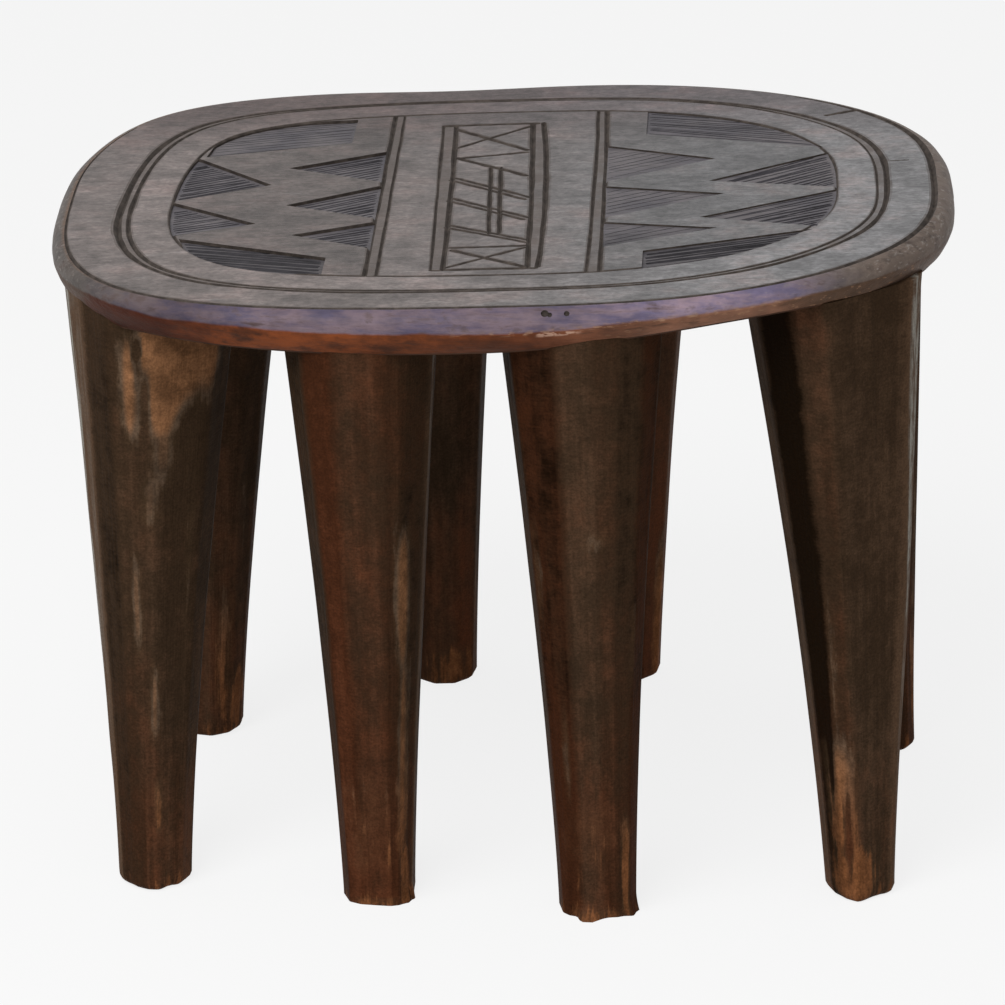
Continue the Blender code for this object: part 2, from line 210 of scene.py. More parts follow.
# Inner teeth, with their feet on the separators
INNER_POCKETS = (
    ((-63.0, 64.2), (-110.5, 41.2), (-62.0, 16.2)),
    ((-61.5, 10.2), (-106.5, -16.8), (-60.8, -39.8)),
    ((-60.5, -44.8), (-99.5, -61.8), (-59.8, -83.8)),
    ((49.0, 65.2), (103.5, 41.2), (49.6, 8.2)),
    ((49.8, 1.2), (108.5, -13.8), (50.4, -46.8)),
    ((50.6, -52.8), (105.5, -64.8), (51.4, -88.8)),
)
# Hatching of each pocket, in the order corner pieces, outer teeth, inner teeth: direction in degrees,
# spacing and stroke width
HATCHING = (
    (13.0, 4.2, 0.8), (-16.0, 2.8, 2.9), (-17.0, 3.2, 1.2), (18.0, 2.5, 1.8),
    (25.0, 2.9, 1.9), (22.0, 2.9, 1.7), (36.0, 3.0, 1.7), (29.0, 3.0, 1.7),
    (26.0, 3.2, 1.8), (30.0, 3.2, 1.9), (23.0, 3.2, 1.8),
    (32.0, 4.6, 0.7), (30.0, 4.6, 0.7), (26.0, 4.6, 0.7),
)
# Degrees that all hatching is turned by: in the first cut, then in those made if the seat came out open
HATCH_TURNS = (0.0, 0.9, -0.9)
# Hatching by hand: margin in spacings and in widths, shake in degrees, and how far strokes stop short
HATCH_MARGINS = (0.4, 0.8)
HATCH_SHAKE = 1.5
HATCH_STOP = 0.6
HATCH_STOP_RANGE = (0.2, 1.2)
SHORTEST_HATCH = 4.0
HATCH_WIDTH_RANGE = (0.6, 1.25)
HATCH_SPACING_RANGE = (0.75, 1.25)
# Small pits in the front of the rolled edge: x, y, z on the level seat, and radius
PITS = (
    (0.0275, -0.1741, 0.0082, 0.0019), (0.0297, -0.1744, 0.0074, 0.0012),
    (0.0375, -0.1740, 0.0078, 0.0014), (-0.0960, -0.1700, 0.0030, 0.0009),
)

# Legs: half width, half breadth, then the facets all round. Each facet has the direction where it starts,
# its tone and its redness. A tone near one or above also paints a pale sheen on the facet, standing for
# caught light.
LEGS = {
    "leg_front_left_outer": (0.0440, 0.0390, (
        (178, 1.15, 0.0), (200, 0.97, 0.0), (215, 0.24, 0.2), (242, 0.44, 0.3), (262, 0.54, 0.3),
        (283, 0.40, 0.2), (322, 0.52, 0.2), (356, 0.48, 0.2), (28, 0.45, 0.3), (66, 0.30, 0.6),
        (104, 0.50, 0.3), (142, 0.35, 0.5))),
    "leg_front_left_inner": (0.0350, 0.0330, (
        (186, 0.36, 0.3), (229, 0.56, 0.9), (252, 0.58, 0.5), (283, 0.40, 0.5), (301, 0.36, 0.4),
        (343, 1.00, 0.0), (352, 0.25, 0.3), (22, 0.45, 0.6), (62, 0.30, 0.3), (104, 0.50, 0.5),
        (148, 0.35, 0.3))),
    "leg_front_right_inner": (0.0350, 0.0330, (
        (184, 0.32, 0.3), (215, 0.24, 0.7), (236, 0.24, 0.6), (257, 0.60, 0.3), (277, 0.52, 0.4),
        (292, 0.30, 0.3), (318, 0.34, 0.6), (350, 0.30, 0.3), (20, 0.45, 0.4), (58, 0.30, 0.7),
        (100, 0.50, 0.3), (145, 0.30, 0.4))),
    "leg_front_right_outer": (0.0440, 0.0390, (
        (180, 0.66, 0.2), (217, -0.22, 0.3), (241, 0.54, 0.4), (266, 0.50, 0.1), (339, 1.25, 0.0),
        (356, 0.40, 0.3), (24, 0.45, 0.2), (62, 0.35, 0.6), (104, 0.50, 0.2), (142, 0.35, 0.4))),
    "leg_back_left_outer": (0.0440, 0.0390, (
        (10, 0.30, 0.3), (48, 0.48, 0.2), (84, 0.38, 0.6), (122, 0.55, 0.3), (160, 0.35, 0.4),
        (200, 0.45, 0.3), (240, 0.50, 0.2), (280, 0.64, 0.35), (318, 0.60, 0.3), (345, 0.56, 0.4))),
    "leg_back_left_inner": (0.0350, 0.0330, (
        (6, 0.30, 0.2), (46, 0.50, 0.5), (90, 0.38, 0.2), (130, 0.52, 0.6), (172, 0.35, 0.2),
        (214, 0.30, 0.3), (256, 0.60, 0.3), (296, 0.64, 0.4), (334, 0.58, 0.3))),
    "leg_back_right_inner": (0.0350, 0.0330, (
        (8, 0.30, 0.3), (50, 0.52, 0.3), (92, 0.36, 0.5), (134, 0.50, 0.2), (176, 0.35, 0.6),
        (218, 0.30, 0.2), (258, 0.30, 0.3), (298, 0.74, 0.5), (336, 0.78, 0.5))),
    "leg_back_right_outer": (0.0440, 0.0390, (
        (12, 0.40, 0.3), (50, 0.48, 0.5), (88, 0.36, 0.3), (126, 0.54, 0.2), (164, 0.35, 0.6),
        (202, 0.30, 0.2), (242, 0.28, 0.3), (282, 0.32, 0.3), (318, 0.46, 0.4), (346, 0.48, 0.4))),
}
# Places on the legs: direction, height, spread in degrees, spread in height, and how bare the wood is
# rubbed there. A place below nothing is stained over again.
WORN_PLACES = {
    "leg_front_left_outer": (
        (259, 0.268, 9, 0.032, 0.80), (273, 0.270, 9, 0.040, 0.92), (287, 0.278, 14, 0.042, 1.10),
        (303, 0.288, 9, 0.036, 0.95), (318, 0.290, 18, 0.036, 0.84), (266, 0.285, 3.0, 0.005, -0.80),
        (269, 0.276, 2.6, 0.008, -0.85), (272, 0.252, 2.4, 0.024, -0.85),
        (288, 0.240, 12, 0.026, 0.62), (276, 0.209, 12, 0.016, 0.58), (262, 0.154, 8, 0.030, 0.60),
        (280, 0.102, 8, 0.024, 0.62), (284, 0.048, 8, 0.018, 0.58), (312, 0.180, 5, 0.050, 0.46),
        (80, 0.080, 30, 0.060, 0.48), (110, 0.240, 12, 0.050, 0.42)),
    "leg_front_left_inner": (
        (308, 0.170, 15, 0.044, 0.86), (312, 0.080, 15, 0.070, 0.82), (318, 0.014, 12, 0.020, 1.00),
        (262, 0.050, 50, 0.040, 0.34), (265, 0.001, 48, 0.0040, 0.46), (60, 0.100, 20, 0.060, 0.46)),
    "leg_front_right_inner": (
        (222, 0.185, 7, 0.038, 0.50), (277, 0.205, 14, 0.008, 0.42), (318, 0.150, 6, 0.030, 0.44),
        (245, 0.090, 7, 0.035, 0.46), (310, 0.026, 9, 0.032, 0.84), (270, 0.040, 50, 0.030, 0.30),
        (272, 0.001, 44, 0.0050, 0.48), (90, 0.140, 20, 0.060, 0.46)),
    "leg_front_right_outer": (
        (246, 0.056, 26, 0.038, 0.74), (262, 0.014, 46, 0.018, 0.74), (248, 0.120, 7, 0.060, 0.46),
        (200, 0.250, 16, 0.030, 0.40), (256, 0.034, 4, 0.026, -0.70), (236, 0.078, 3, 0.020, -0.60),
        (100, 0.100, 26, 0.060, 0.48)),
    "leg_back_left_outer": (
        (302, 0.045, 18, 0.045, 0.56), (330, 0.020, 24, 0.020, 0.62), (330, 0.120, 8, 0.060, 0.40),
        (120, 0.210, 22, 0.050, 0.58), (70, 0.060, 16, 0.050, 0.50)),
    "leg_back_left_inner": (
        (340, 0.060, 12, 0.060, 0.44), (290, 0.010, 60, 0.014, 0.56), (100, 0.070, 18, 0.050, 0.52),
        (60, 0.220, 10, 0.060, 0.44)),
    "leg_back_right_inner": (
        (335, 0.038, 18, 0.050, 0.80), (345, 0.120, 10, 0.060, 0.52), (120, 0.100, 16, 0.060, 0.50),
        (80, 0.030, 30, 0.030, 0.54)),
    "leg_back_right_outer": (
        (345, 0.040, 20, 0.040, 0.50), (340, 0.110, 8, 0.060, 0.44), (60, 0.240, 20, 0.040, 0.60),
        (130, 0.080, 14, 0.060, 0.48)),
}
# Worn soles: direction, spread in degrees, and how far the edge is worn in, in millimetres, or splayed out
# below nothing
WORN_SOLES = {
    "leg_front_left_outer": ((230, 30, 1.2), (310, 14, 1.5)),
    "leg_front_left_inner": ((322, 12, -2.4), (342, 9, -2.0)),
    "leg_front_right_inner": ((264, 8, -6.0), (322, 12, -2.2), (342, 9, -2.2)),
    "leg_front_right_outer": ((225, 26, 1.4), (264, 30, -0.8), (314, 16, 1.0)),
}
# How far each leg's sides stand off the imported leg's, in millimetres: the left side at the seat, the middle
# and the foot, then the right side
LEG_SIDES = {
    "leg_front_left_outer": ((-3.2, -3.2, -1.2), (-5.3, -3.4, -0.5)),
    "leg_front_left_inner": ((1.9, 2.2, 2.2), (4.8, 3.4, 0.8)),
    "leg_front_right_inner": ((-2.9, -1.7, -1.4), (3.5, 1.6, 1.0)),
    "leg_front_right_outer": ((-2.0, 1.4, 3.1), (-2.6, 2.7, 1.4)),
    "leg_back_left_inner": ((0.0, 0.0, 0.0), (2.1, 1.5, 0.8)),
    "leg_back_right_inner": ((0.0, 0.0, 0.0), (3.4, 1.6, 0.5)),
    "leg_back_right_outer": ((0.0, 0.0, 0.0), (2.0, 2.7, 0.0)),
}
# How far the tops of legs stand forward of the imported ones, in millimetres
LEG_FORWARD = {"leg_front_left_outer": 6.0, "leg_front_right_outer": 9.0, "leg_back_left_inner": 6.0}
LEG_SQUARENESS = 2.5
TAPER_POWER = 1.35
FOOT_HALF = 0.0180
FOOT_ROUNDING = 0.0030
FOOT_ROUNDING_HEIGHT = 0.0036
FOOT_RING_HEIGHTS = (0.0, 0.0006, 0.0018, 0.0036, 0.0056)
# Feet that were sawn off square, and how square they are
SAWN_FEET = ("leg_front_left_inner", "leg_front_right_inner")
SAWN_SQUARENESS = 3.2
FOOT_WEAR_HEIGHT = 0.0080
# Slices of a packed leg that its foot and its tenon's end are found in, in millimetres
FOOT_SLICE = 0.5
TENON_SLICE = 2.5
TENON_LENGTH = 0.0130
LEG_REACH_INTO_SEAT = 0.0080
FACET_SHARES = (0.07, 0.20, 0.5, 0.80, 0.93)
LEG_RING_STEP = 0.0050
STRAIGHT_LEG_RADIUS = 0.0300
# How far apart the grain of two legs is read, so that no two are alike
GRAIN_STEP = 0.4000
# How much of its neighbour's tone a facet takes near their shared edge
EDGE_BLEND = 0.32
EDGE_FROM = 0.4
# Facets by hand: how far their edges wander in degrees, how deep they are hewn, and how their tone drifts
FACET_WANDER = 3.0
HEWN_DEPTH = 0.0005
TONE_DRIFT = 0.12


def only(piece):
    """Selects one object alone and makes it active."""
    bpy.ops.object.select_all(action="DESELECT")
    piece.select_set(True)
    bpy.context.view_layer.objects.active = piece


def face_outwards():
    """In edit mode: turns all faces of the piece outwards."""
    bpy.ops.mesh.select_all(action="SELECT")
    bpy.ops.mesh.normals_make_consistent(inside=False)


def raise_rings(name, rings):
    """A closed solid raised ring by ring from a circle. Vertex i of ring r has the number r * points + i."""
    points = len(rings[0])
    bpy.ops.object.select_all(action="DESELECT")
    bpy.ops.mesh.primitive_circle_add(vertices=points, radius=1.0, fill_type="NGON")
    piece = bpy.context.active_object
    piece.name = name
    piece.data.name = name
    bpy.ops.object.mode_set(mode="EDIT")
    bpy.ops.mesh.select_mode(type="VERT")
    bpy.ops.mesh.select_all(action="SELECT")
    for _ in rings[1:]:
        bpy.ops.mesh.extrude_region_move(TRANSFORM_OT_translate={"value": (0.0, 0.0, 1.0)})
    bpy.ops.object.mode_set(mode="OBJECT")
    piece.data.vertices.foreach_set("co", [value for ring in rings for point in ring for value in point])
    bpy.ops.object.mode_set(mode="EDIT")
    face_outwards()
    bpy.ops.object.mode_set(mode="OBJECT")
    return piece


def edit_from(piece, first):
    """Goes into edit mode with the vertices selected whose numbers start at the given one."""
    bpy.ops.object.mode_set(mode="EDIT")
    bpy.ops.mesh.select_mode(type="VERT")
    bpy.ops.mesh.select_all(action="DESELECT")
    bpy.ops.object.mode_set(mode="OBJECT")
    for vertex in piece.data.vertices:
        vertex.select = vertex.index >= first
    bpy.ops.object.mode_set(mode="EDIT")


def between(table, x):
    """Values between the rows of a table whose first column is x, on a smooth curve through the rows."""
    last = len(table) - 1
    row = next((i for i in range(last) if x <= table[i + 1][0]), last - 1)
    low, high = table[row], table[row + 1]
    before, after = table[max(row - 1, 0)], table[min(row + 2, last)]
    width = high[0] - low[0]
    share = min(max((x - low[0]) / width, 0.0), 1.0)
    values = []
    for k in range(1, len(low)):
        slope_low = (high[k] - before[k]) / (high[0] - before[0]) * width
        slope_high = (after[k] - low[k]) / (after[0] - low[0]) * width
        rise = high[k] - low[k]
        bend = slope_low + slope_high - 2.0 * rise
        curve = 3.0 * rise - 2.0 * slope_low - slope_high + share * bend
        values.append(low[k] + share * (slope_low + share * curve))
    return values


def signed_power(value, power):
    """A power that keeps the sign."""
    return math.copysign(abs(value) ** power, value)


def oval_angles(points):
    """Angles that spread points evenly round the seat's squarish oval."""
    power = SQUARENESS / 2.0
    turns = [2.0 * math.pi * i / points for i in range(points)]
    return [math.atan2(signed_power(math.sin(t), power), signed_power(math.cos(t), power)) for t in turns]


def oval_point(angle, half):
    """A point of the oval, whose corners are not all equally square."""
    quarter = int(angle // (math.pi / 2.0)) % 4
    square = SQUARENESS + (CORNER_SQUARENESS[quarter] - SQUARENESS) * abs(math.sin(2.0 * angle))
    power = 2.0 / square
    across = half[0] * signed_power(math.cos(angle), power)
    return Vector((across, half[1] * signed_power(math.sin(angle), power)))


def oval_outward(point, half):
    """The direction square to the oval at a point."""
    power = SQUARENESS - 1.0
    return Vector((signed_power(point.x / half[0], power) / half[0],
                   signed_power(point.y / half[1], power) / half[1])).normalized()


def oval_reach(along, half_along, half_across):
    """How far the oval reaches to the side, at a distance along one of its axes."""
    share = min(abs(along) / half_along, 1.0)
    return half_across * (1.0 - share ** SQUARENESS) ** (1.0 / SQUARENESS)


def back_hollow(point):
    """Moves a point of the rim into the shallow hollow along the back."""
    if point.y <= 0.0:
        return point
    share = (point.x - BACK_HOLLOW_X) / BACK_HOLLOW_REACH
    return Vector((point.x, point.y - BACK_HOLLOW_DEPTH * math.exp(-share * share)))


def top_edge(angle):
    """A point of the edge of the top face, and the way outward there."""
    point = oval_point(angle, TOP_HALF)
    outward = oval_outward(point, TOP_HALF)
    if point.x < 0.0:
        share = (point.y - LEFT_BULGE_Y) / LEFT_BULGE_REACH
        point.x -= LEFT_BULGE * math.exp(-share * share) * outward.x ** 2
    return back_hollow(point + Vector((TOP_SHIFT_X, 0.0))), outward


def rim_profile(angle, x, front):
    """The rim at one place, from under the seat up to the top face: (reach outside the top edge, z)."""
    roll, lip = between(FRONT_RIM, x) if front else (1.0, 1.0)
    reach = (ROLL_REACH + ROLL_REACH_SKEW * math.cos(angle))
    reach *= LEAST_ROLL_REACH + (1.0 - LEAST_ROLL_REACH) * roll
    widest = TOP_Z - ROLL_DROP * roll
    under = widest - LIP_HEIGHT * lip
    inset = LIP_INSET * min(lip, 1.0)
    foot = reach - inset
    profile = [(foot - UNDERSIDE_INSET, TOP_Z - SEAT_THICKNESS)]
    profile += [(foot - back, under + rise) for back, rise in LIP_EDGE]
    for share in LIP_SHARES:
        back = inset * (1.0 - share) ** LIP_POWER
        profile.append((reach - back, widest - LIP_HEIGHT * lip * (1.0 - share)))
    profile += [(reach - back, widest + rise) for back, rise in WIDEST_EDGE]
    for turn in ROLL_TURNS:
        quarter = turn * math.pi / 2.0
        profile.append((reach * math.cos(quarter), widest + (TOP_Z - widest) * math.sin(quarter)))
    profile.append((0.0, TOP_Z))
    return profile


def seat_blank():
    """The uncarved slab, with a gridded top face and a finish for each zone."""
    columns = []
    for angle in oval_angles(RIM_POINTS):
        edge, outward = top_edge(angle)
        column = []
        for reach, z in rim_profile(angle, edge.x, edge.y < 0.0):
            place = edge + outward * reach
            column.append((place.x, place.y, z))
        columns.append(column)
    rings = list(zip(*columns))
    seat = raise_rings("carved_seat", rings)
    last_ring = RIM_POINTS * (len(rings) - 1)
    for face in seat.data.polygons:
        ring = min(face.vertices) // RIM_POINTS
        face.material_index = FINISH["under" if ring < UNDERSIDE_RINGS else "rim"]
    edit_from(seat, last_ring)
    bpy.ops.mesh.delete(type="ONLY_FACE")
    edit_from(seat, last_ring)
    bpy.ops.mesh.select_mode(type="EDGE")
    bpy.ops.mesh.fill_grid(span=RIM_POINTS // 4)
    face_outwards()
    bpy.ops.object.mode_set(mode="OBJECT")
    for face in seat.data.polygons:
        if min(face.vertices) >= last_ring:
            face.material_index = FINISH["top"]
    last_height = len(RIM_HEIGHTS) - 1
    levels = [min(corner.vertex_index // RIM_POINTS, last_height) for corner in seat.data.loops]
    store(seat, "rim_height", "FLOAT", [RIM_HEIGHTS[level] for level in levels], "CORNER")
    bpy.ops.object.shade_smooth_by_angle(angle=math.radians(SEAT_CREASE))
    return seat


def gouge_section(outline):
    """The section that strokes of the gouge are swept with."""
    data = bpy.data.curves.new("gouge_section", "CURVE")
    data.dimensions = "2D"
    spline = data.splines.new("POLY")
    spline.points.add(len(outline) - 1)
    for point, place in zip(spline.points, outline):
        point.co = (*place, 0.0, 1.0)
    spline.use_cyclic_u = True
    section = bpy.data.objects.new("gouge_section", data)
    bpy.context.scene.collection.objects.link(section)
    return section


def gouge_cutter(name, outline, paths, z):
    """Sweeps a section of the gouge along paths of (x, y, half width), each with a flag for a closed one."""
    section = gouge_section(outline)
    data = bpy.data.curves.new(name, "CURVE")
    data.dimensions = "2D"
    data.bevel_mode = "OBJECT"
    data.bevel_object = section
    data.use_fill_caps = True
    for path, closed in paths:
        spline = data.splines.new("POLY")
        spline.points.add(len(path) - 1)
        for point, (x, y, half) in zip(spline.points, path):
            point.co = (x, y, 0.0, 1.0)
            point.radius = half
        spline.use_cyclic_u = closed
    cutter = bpy.data.objects.new(name, data)
    cutter.location.z = z
    bpy.context.scene.collection.objects.link(cutter)
    only(cutter)
    bpy.ops.object.convert(target="MESH")
    bpy.ops.object.transform_apply(location=True, rotation=False, scale=False)
    bpy.ops.object.mode_set(mode="EDIT")
    bpy.ops.mesh.select_all(action="SELECT")
    bpy.ops.mesh.remove_doubles(threshold=1e-6)
    face_outwards()
    bpy.ops.object.mode_set(mode="OBJECT")
    bpy.data.objects.remove(section)
    return bpy.context.active_object


def hand_stroke(start, end, width, bow, rng, steps=12, shake=0.22, swelling=0.15):
    """A stroke of the gouge by hand, in metres: a little uneven, and lighter where it starts and stops."""
    start, end = Vector(start) * MM, Vector(end) * MM
    along = (end - start).normalized()
    left = Vector((-along.y, along.x))
    tip = min(TIP_LENGTH * MM / (end - start).length, TIP_SHARE / steps)
    shares = [0.0, tip] + [i / steps for i in range(1, steps)] + [1.0 - tip, 1.0]
    path = []
    for i, share in enumerate(shares):
        drift = bow * MM * 4.0 * share * (1.0 - share) + rng.uniform(-shake, shake) * MM
        place = start.lerp(end, share) + left * drift
        half = width * MM / 2.0 * rng.uniform(1.0 - swelling, 1.0 + swelling)
        if i in (0, len(shares) - 1):
            half *= TIP_END
        path.append((place.x, place.y, half))
    return path


def ring_stroke(half, widths, seed):
    """A stroke all round the seat, with its widths at the left end, at the right end and along the sides."""
    path = []
    for angle in oval_angles(RIM_POINTS):
        point = oval_point(angle, half)
        side = math.sin(angle) ** 2
        right = (1.0 + math.cos(angle)) / 2.0
        x, y = math.cos(angle), math.sin(angle)
        wobble, shake = (noise.noise(Vector((x * wave, y * wave, seed))) for wave in RING_WAVES)
        point = point * (1.0 + RING_WANDER * wobble)
        end = widths[0] + (widths[1] - widths[0]) * right
        width = (end + (widths[2] - end) * side) * (1.0 + RING_SWELL[0] * wobble + RING_SWELL[1] * shake)
        path.append((point.x, point.y, width * MM / 2.0))
    return path


def rim_stroke():
    """The stroke along the edge of the top, from the back left round the front to the back right."""
    path = []
    first, last = RIM_LINE[0][0], RIM_LINE[-1][0]
    for i in range(RIM_LINE_STEPS + 1):
        degrees = first + (last - first) * i / RIM_LINE_STEPS
        edge, _ = top_edge(math.radians(degrees % 360.0))
        shake = noise.noise(Vector((edge.x * RIM_LINE_WAVE, edge.y * RIM_LINE_WAVE, 2.0)))
        width = between(RIM_LINE, degrees)[0] * (1.0 + RIM_LINE_SWELL * shake)
        path.append((edge.x, edge.y, width * MM / 2.0))
    return path


def carved_lines(rng):
    """Every line of the top, as paths for the gouge."""
    paths = [(rim_stroke(), False)]
    for sign, widths, seed in ((1.0, OUTER_RING_WIDTHS, 4.0), (-1.0, INNER_RING_WIDTHS, 7.0)):
        half = (RING_HALF[0] + sign * RING_SPREAD[0], RING_HALF[1] + sign * RING_SPREAD[1])
        paths.append((ring_stroke(half, widths, seed), True))
    paths.append((ring_stroke(FIELD_HALF, (FIELD_LINE_WIDTH,) * 3, seed=12.0), True))
    for start, end, width, bow in STROKES:
        paths.append((hand_stroke(start, end, width, bow, rng), False))
    for start, end, width, space in DOUBLE_STROKES:
        along = (Vector(end) - Vector(start)).normalized()
        left = Vector((-along.y, along.x)) * space / 2.0
        for side in (-1.0, 1.0):
            first, last = Vector(start) + left * side, Vector(end) + left * side
            paths.append((hand_stroke(first, last, width, 0.0, rng), False))
    return paths


def field_angle(point):
    """The angle of a plan point on the field's oval."""
    x, y = (signed_power(c / half, SQUARENESS / 2.0) for c, half in zip(point, FIELD_PLAN_HALF))
    return math.atan2(y, x)


def field_edge(start, end, steps=8):
    """Points of the field's oval from one plan point to another, both on it."""
    first, last = field_angle(start), field_angle(end)
    while last - first > math.pi:
        last -= 2.0 * math.pi
    while first - last > math.pi:
        last += 2.0 * math.pi
    points = [oval_point(first + (last - first) * i / steps, FIELD_HALF) / MM for i in range(1, steps)]
    return [(p.x, p.y) for p in points]


def pocket_outlines():
    """The outlines of all pockets on the plan, in millimetres."""
    half_x, half_y = FIELD_PLAN_HALF
    outlines = []
    for side, end, inner_x, notch_y, tip_y in CORNER_POCKETS:
        tip = (side * oval_reach(tip_y, half_y, half_x), tip_y)
        top = (inner_x, end * oval_reach(inner_x, half_x, half_y))
        outlines.append([top, (inner_x, notch_y), tip] + field_edge(tip, top))
    for side, high_y, point, low_y in OUTER_POCKETS:
        high = (side * oval_reach(high_y, half_y, half_x), high_y)
        low = (side * oval_reach(low_y, half_y, half_x), low_y)
        outlines.append([high, point, low] + field_edge(low, high))
    return outlines + [list(outline) for outline in INNER_POCKETS]


def crossings(outline, start, along):
    """How far along a line it crosses an outline, in order."""
    left = Vector((-along.y, along.x))
    found = []
    for a, b in zip(outline, outline[1:] + outline[:1]):
        a, b = Vector(a) - start, Vector(b) - start
        side_a, side_b = a.dot(left), b.dot(left)
        if (side_a > 0.0) != (side_b > 0.0):
            share = side_a / (side_a - side_b)
            found.append(a.lerp(b, share).dot(along))
    return sorted(found)


def heading(degrees):
    """The way a stroke runs, on the plan."""
    return Vector((math.cos(math.radians(degrees)), math.sin(math.radians(degrees))))


def hatch_strokes(outline, direction, spacing, width, rng):
    """Strokes by hand that fill a pocket's floor, stopping short of its walls."""
    lengthwise, across = heading(direction), heading(direction + 90.0)
    sides = [Vector(p).dot(across) for p in outline]
    middle = lengthwise * (sum(Vector(p).dot(lengthwise) for p in outline) / len(outline))
    strokes = []
    margin = max(spacing * HATCH_MARGINS[0], width * HATCH_MARGINS[1])
    offset = min(sides) + margin
    while offset < max(sides) - margin:
        start, along = middle + across * offset, heading(direction + rng.gauss(0.0, HATCH_SHAKE))
        found = crossings(outline, start, along)
        for low, high in zip(found[::2], found[1::2]):
            low = low + width * HATCH_STOP + rng.uniform(*HATCH_STOP_RANGE)
            high = high - width * HATCH_STOP - rng.uniform(*HATCH_STOP_RANGE)
            if high - low > SHORTEST_HATCH:
                wide = width * rng.uniform(*HATCH_WIDTH_RANGE)
                first, last = start + along * low, start + along * high
                stroke = hand_stroke(first, last, wide, 0.0, rng, steps=5, shake=0.15, swelling=0.12)
                strokes.append((stroke, False))
        offset += spacing * rng.uniform(*HATCH_SPACING_RANGE)
    return strokes


def give_finish(cutter, materials, finish, flat_finish):
    """Sets the finishes that a cutter's steep faces and its flat faces leave in the seat."""
    for material in materials:
        cutter.data.materials.append(material)
    for face in cutter.data.polygons:
        flat = abs(face.normal.z) > SHOULDER_SLOPE
        face.material_index = FINISH[flat_finish if flat else finish]
        face.use_smooth = False
    return cutter


def is_closed(mesh):
    """Whether each edge of a mesh has two faces."""
    uses = collections.Counter(edge for face in mesh.polygons for edge in face.edge_keys)
    return all(count == 2 for count in uses.values())


def cut_away(seat, cutters):
    """Cuts all the cutters out of the seat at once. They may cross each other."""
    bpy.ops.object.select_all(action="DESELECT")
    for cutter in cutters:
        cutter.select_set(True)
    bpy.context.view_layer.objects.active = cutters[0]
    bpy.ops.object.join()
    carving = bpy.context.active_object
    boolean = seat.modifiers.new("carving", "BOOLEAN")
    boolean.operation = "DIFFERENCE"
    boolean.solver = "EXACT"
    boolean.use_self = True
    boolean.object = carving
    only(seat)
    bpy.ops.object.modifier_apply(modifier=boolean.name)
    bpy.data.objects.remove(carving)


def seat_place():
    """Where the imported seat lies: its middle, on the rim's widest line, and its lean."""
    top = next(mount for mount in frame["record"]["mounts"] if mount["name"] == "seat_top")
    up = Vector(top["axis"])
    height = (Vector(top["pos_m"]).dot(up) - TOP_Z) / up.z
    across = Vector((0.0, 1.0, 0.0)).cross(up)
    turn = Matrix((across, (0.0, 1.0, 0.0), up)).transposed().to_4x4()
    return Matrix.Translation((0.0, 0.0, height)) @ turn


def carve_seat(finishes, turn):
    """The carved seat, with its hatching turned by some degrees."""
    rng = random.Random(CARVING_SEED)
    seat = seat_blank()
    for finish in finishes:
        seat.data.materials.append(finish)
    cutters = []
    outlines = pocket_outlines()
    depths = [POCKET_DEPTHS[0] if outline[0][0] < 0.0 else POCKET_DEPTHS[1] for outline in outlines]
    for i, (outline, depth) in enumerate(zip(outlines, depths)):
        rings = [[(x * MM, y * MM, z) for x, y in outline] for z in (TOP_Z - depth, TOP_Z + depth)]
        # The pockets' steep walls take the dark line finish as painted shade, as if they stood in shadow;
        # their floors take the pocket finish.
        cutters.append(give_finish(raise_rings(f"pocket_{i}", rings), finishes, "line", "pocket"))
    bands = [(ring_stroke(RING_HALF, RING_BAND_WIDTHS, seed=5.0), True)]
    bands += [(hand_stroke(start, end, width, bow, rng), False) for start, end, width, bow in BANDS]
    cutters.append(give_finish(gouge_cutter("bands", BAND_SECTION, bands, TOP_Z), finishes, "band", "band"))
    lines = gouge_cutter("lines", LINE_SECTION, carved_lines(rng), TOP_Z)
    cutters.append(give_finish(lines, finishes, "line", "shoulder"))
    for floor in POCKET_DEPTHS:
        strokes = []
        for outline, depth, (direction, spacing, width) in zip(outlines, depths, HATCHING):
            if depth == floor:
                strokes += hatch_strokes(outline, direction + turn, spacing, width, rng)
        hatching = gouge_cutter("hatching", HATCH_SECTION, strokes, TOP_Z - floor)
        cutters.append(give_finish(hatching, finishes, "hatch", "hatch"))
    for x, y, z, radius in PITS:
        bpy.ops.object.select_all(action="DESELECT")
        bpy.ops.mesh.primitive_ico_sphere_add(subdivisions=2, radius=radius, location=(x, y, z))
        cutters.append(give_finish(bpy.context.active_object, finishes, "line", "line"))
    cut_away(seat, cutters)
    seat.matrix_world = seat_place()
    bpy.ops.object.transform_apply(location=True, rotation=True, scale=False)
    return seat


def make_seat(finishes):
    """The carved seat, carved again with its hatching turned a little where the solver leaves it open."""
    for turn in HATCH_TURNS:
        seat = carve_seat(finishes, turn)
        if is_closed(seat.data) or turn == HATCH_TURNS[-1]:
            return seat
        bpy.data.objects.remove(seat)


def box_middle(points):
    """The middle of the box round some points."""
    return Vector([(min(p[k] for p in points) + max(p[k] for p in points)) / 2.0 for k in range(3)])


def leg_ends(node, place):
    """The middles of a packed leg's foot and of its shoulder under the seat."""
    points = [vertex.co for vertex in frame["nodes"][node].data.vertices]
    highest = max(point.z for point in points)
    foot = box_middle([point for point in points if point.z < FOOT_SLICE * MM])
    tenon_end = box_middle([point for point in points if point.z > highest - TENON_SLICE * MM])
    return foot, tenon_end - place.col[2].to_3d() * TENON_LENGTH


def leg_facing(shoulder, half_breadth):
    """The way outward from the seat at a leg."""
    outward = oval_outward(shoulder.xy, TOP_HALF)
    for _ in range(3):
        outward = oval_outward(shoulder.xy + outward * half_breadth, TOP_HALF)
    return outward


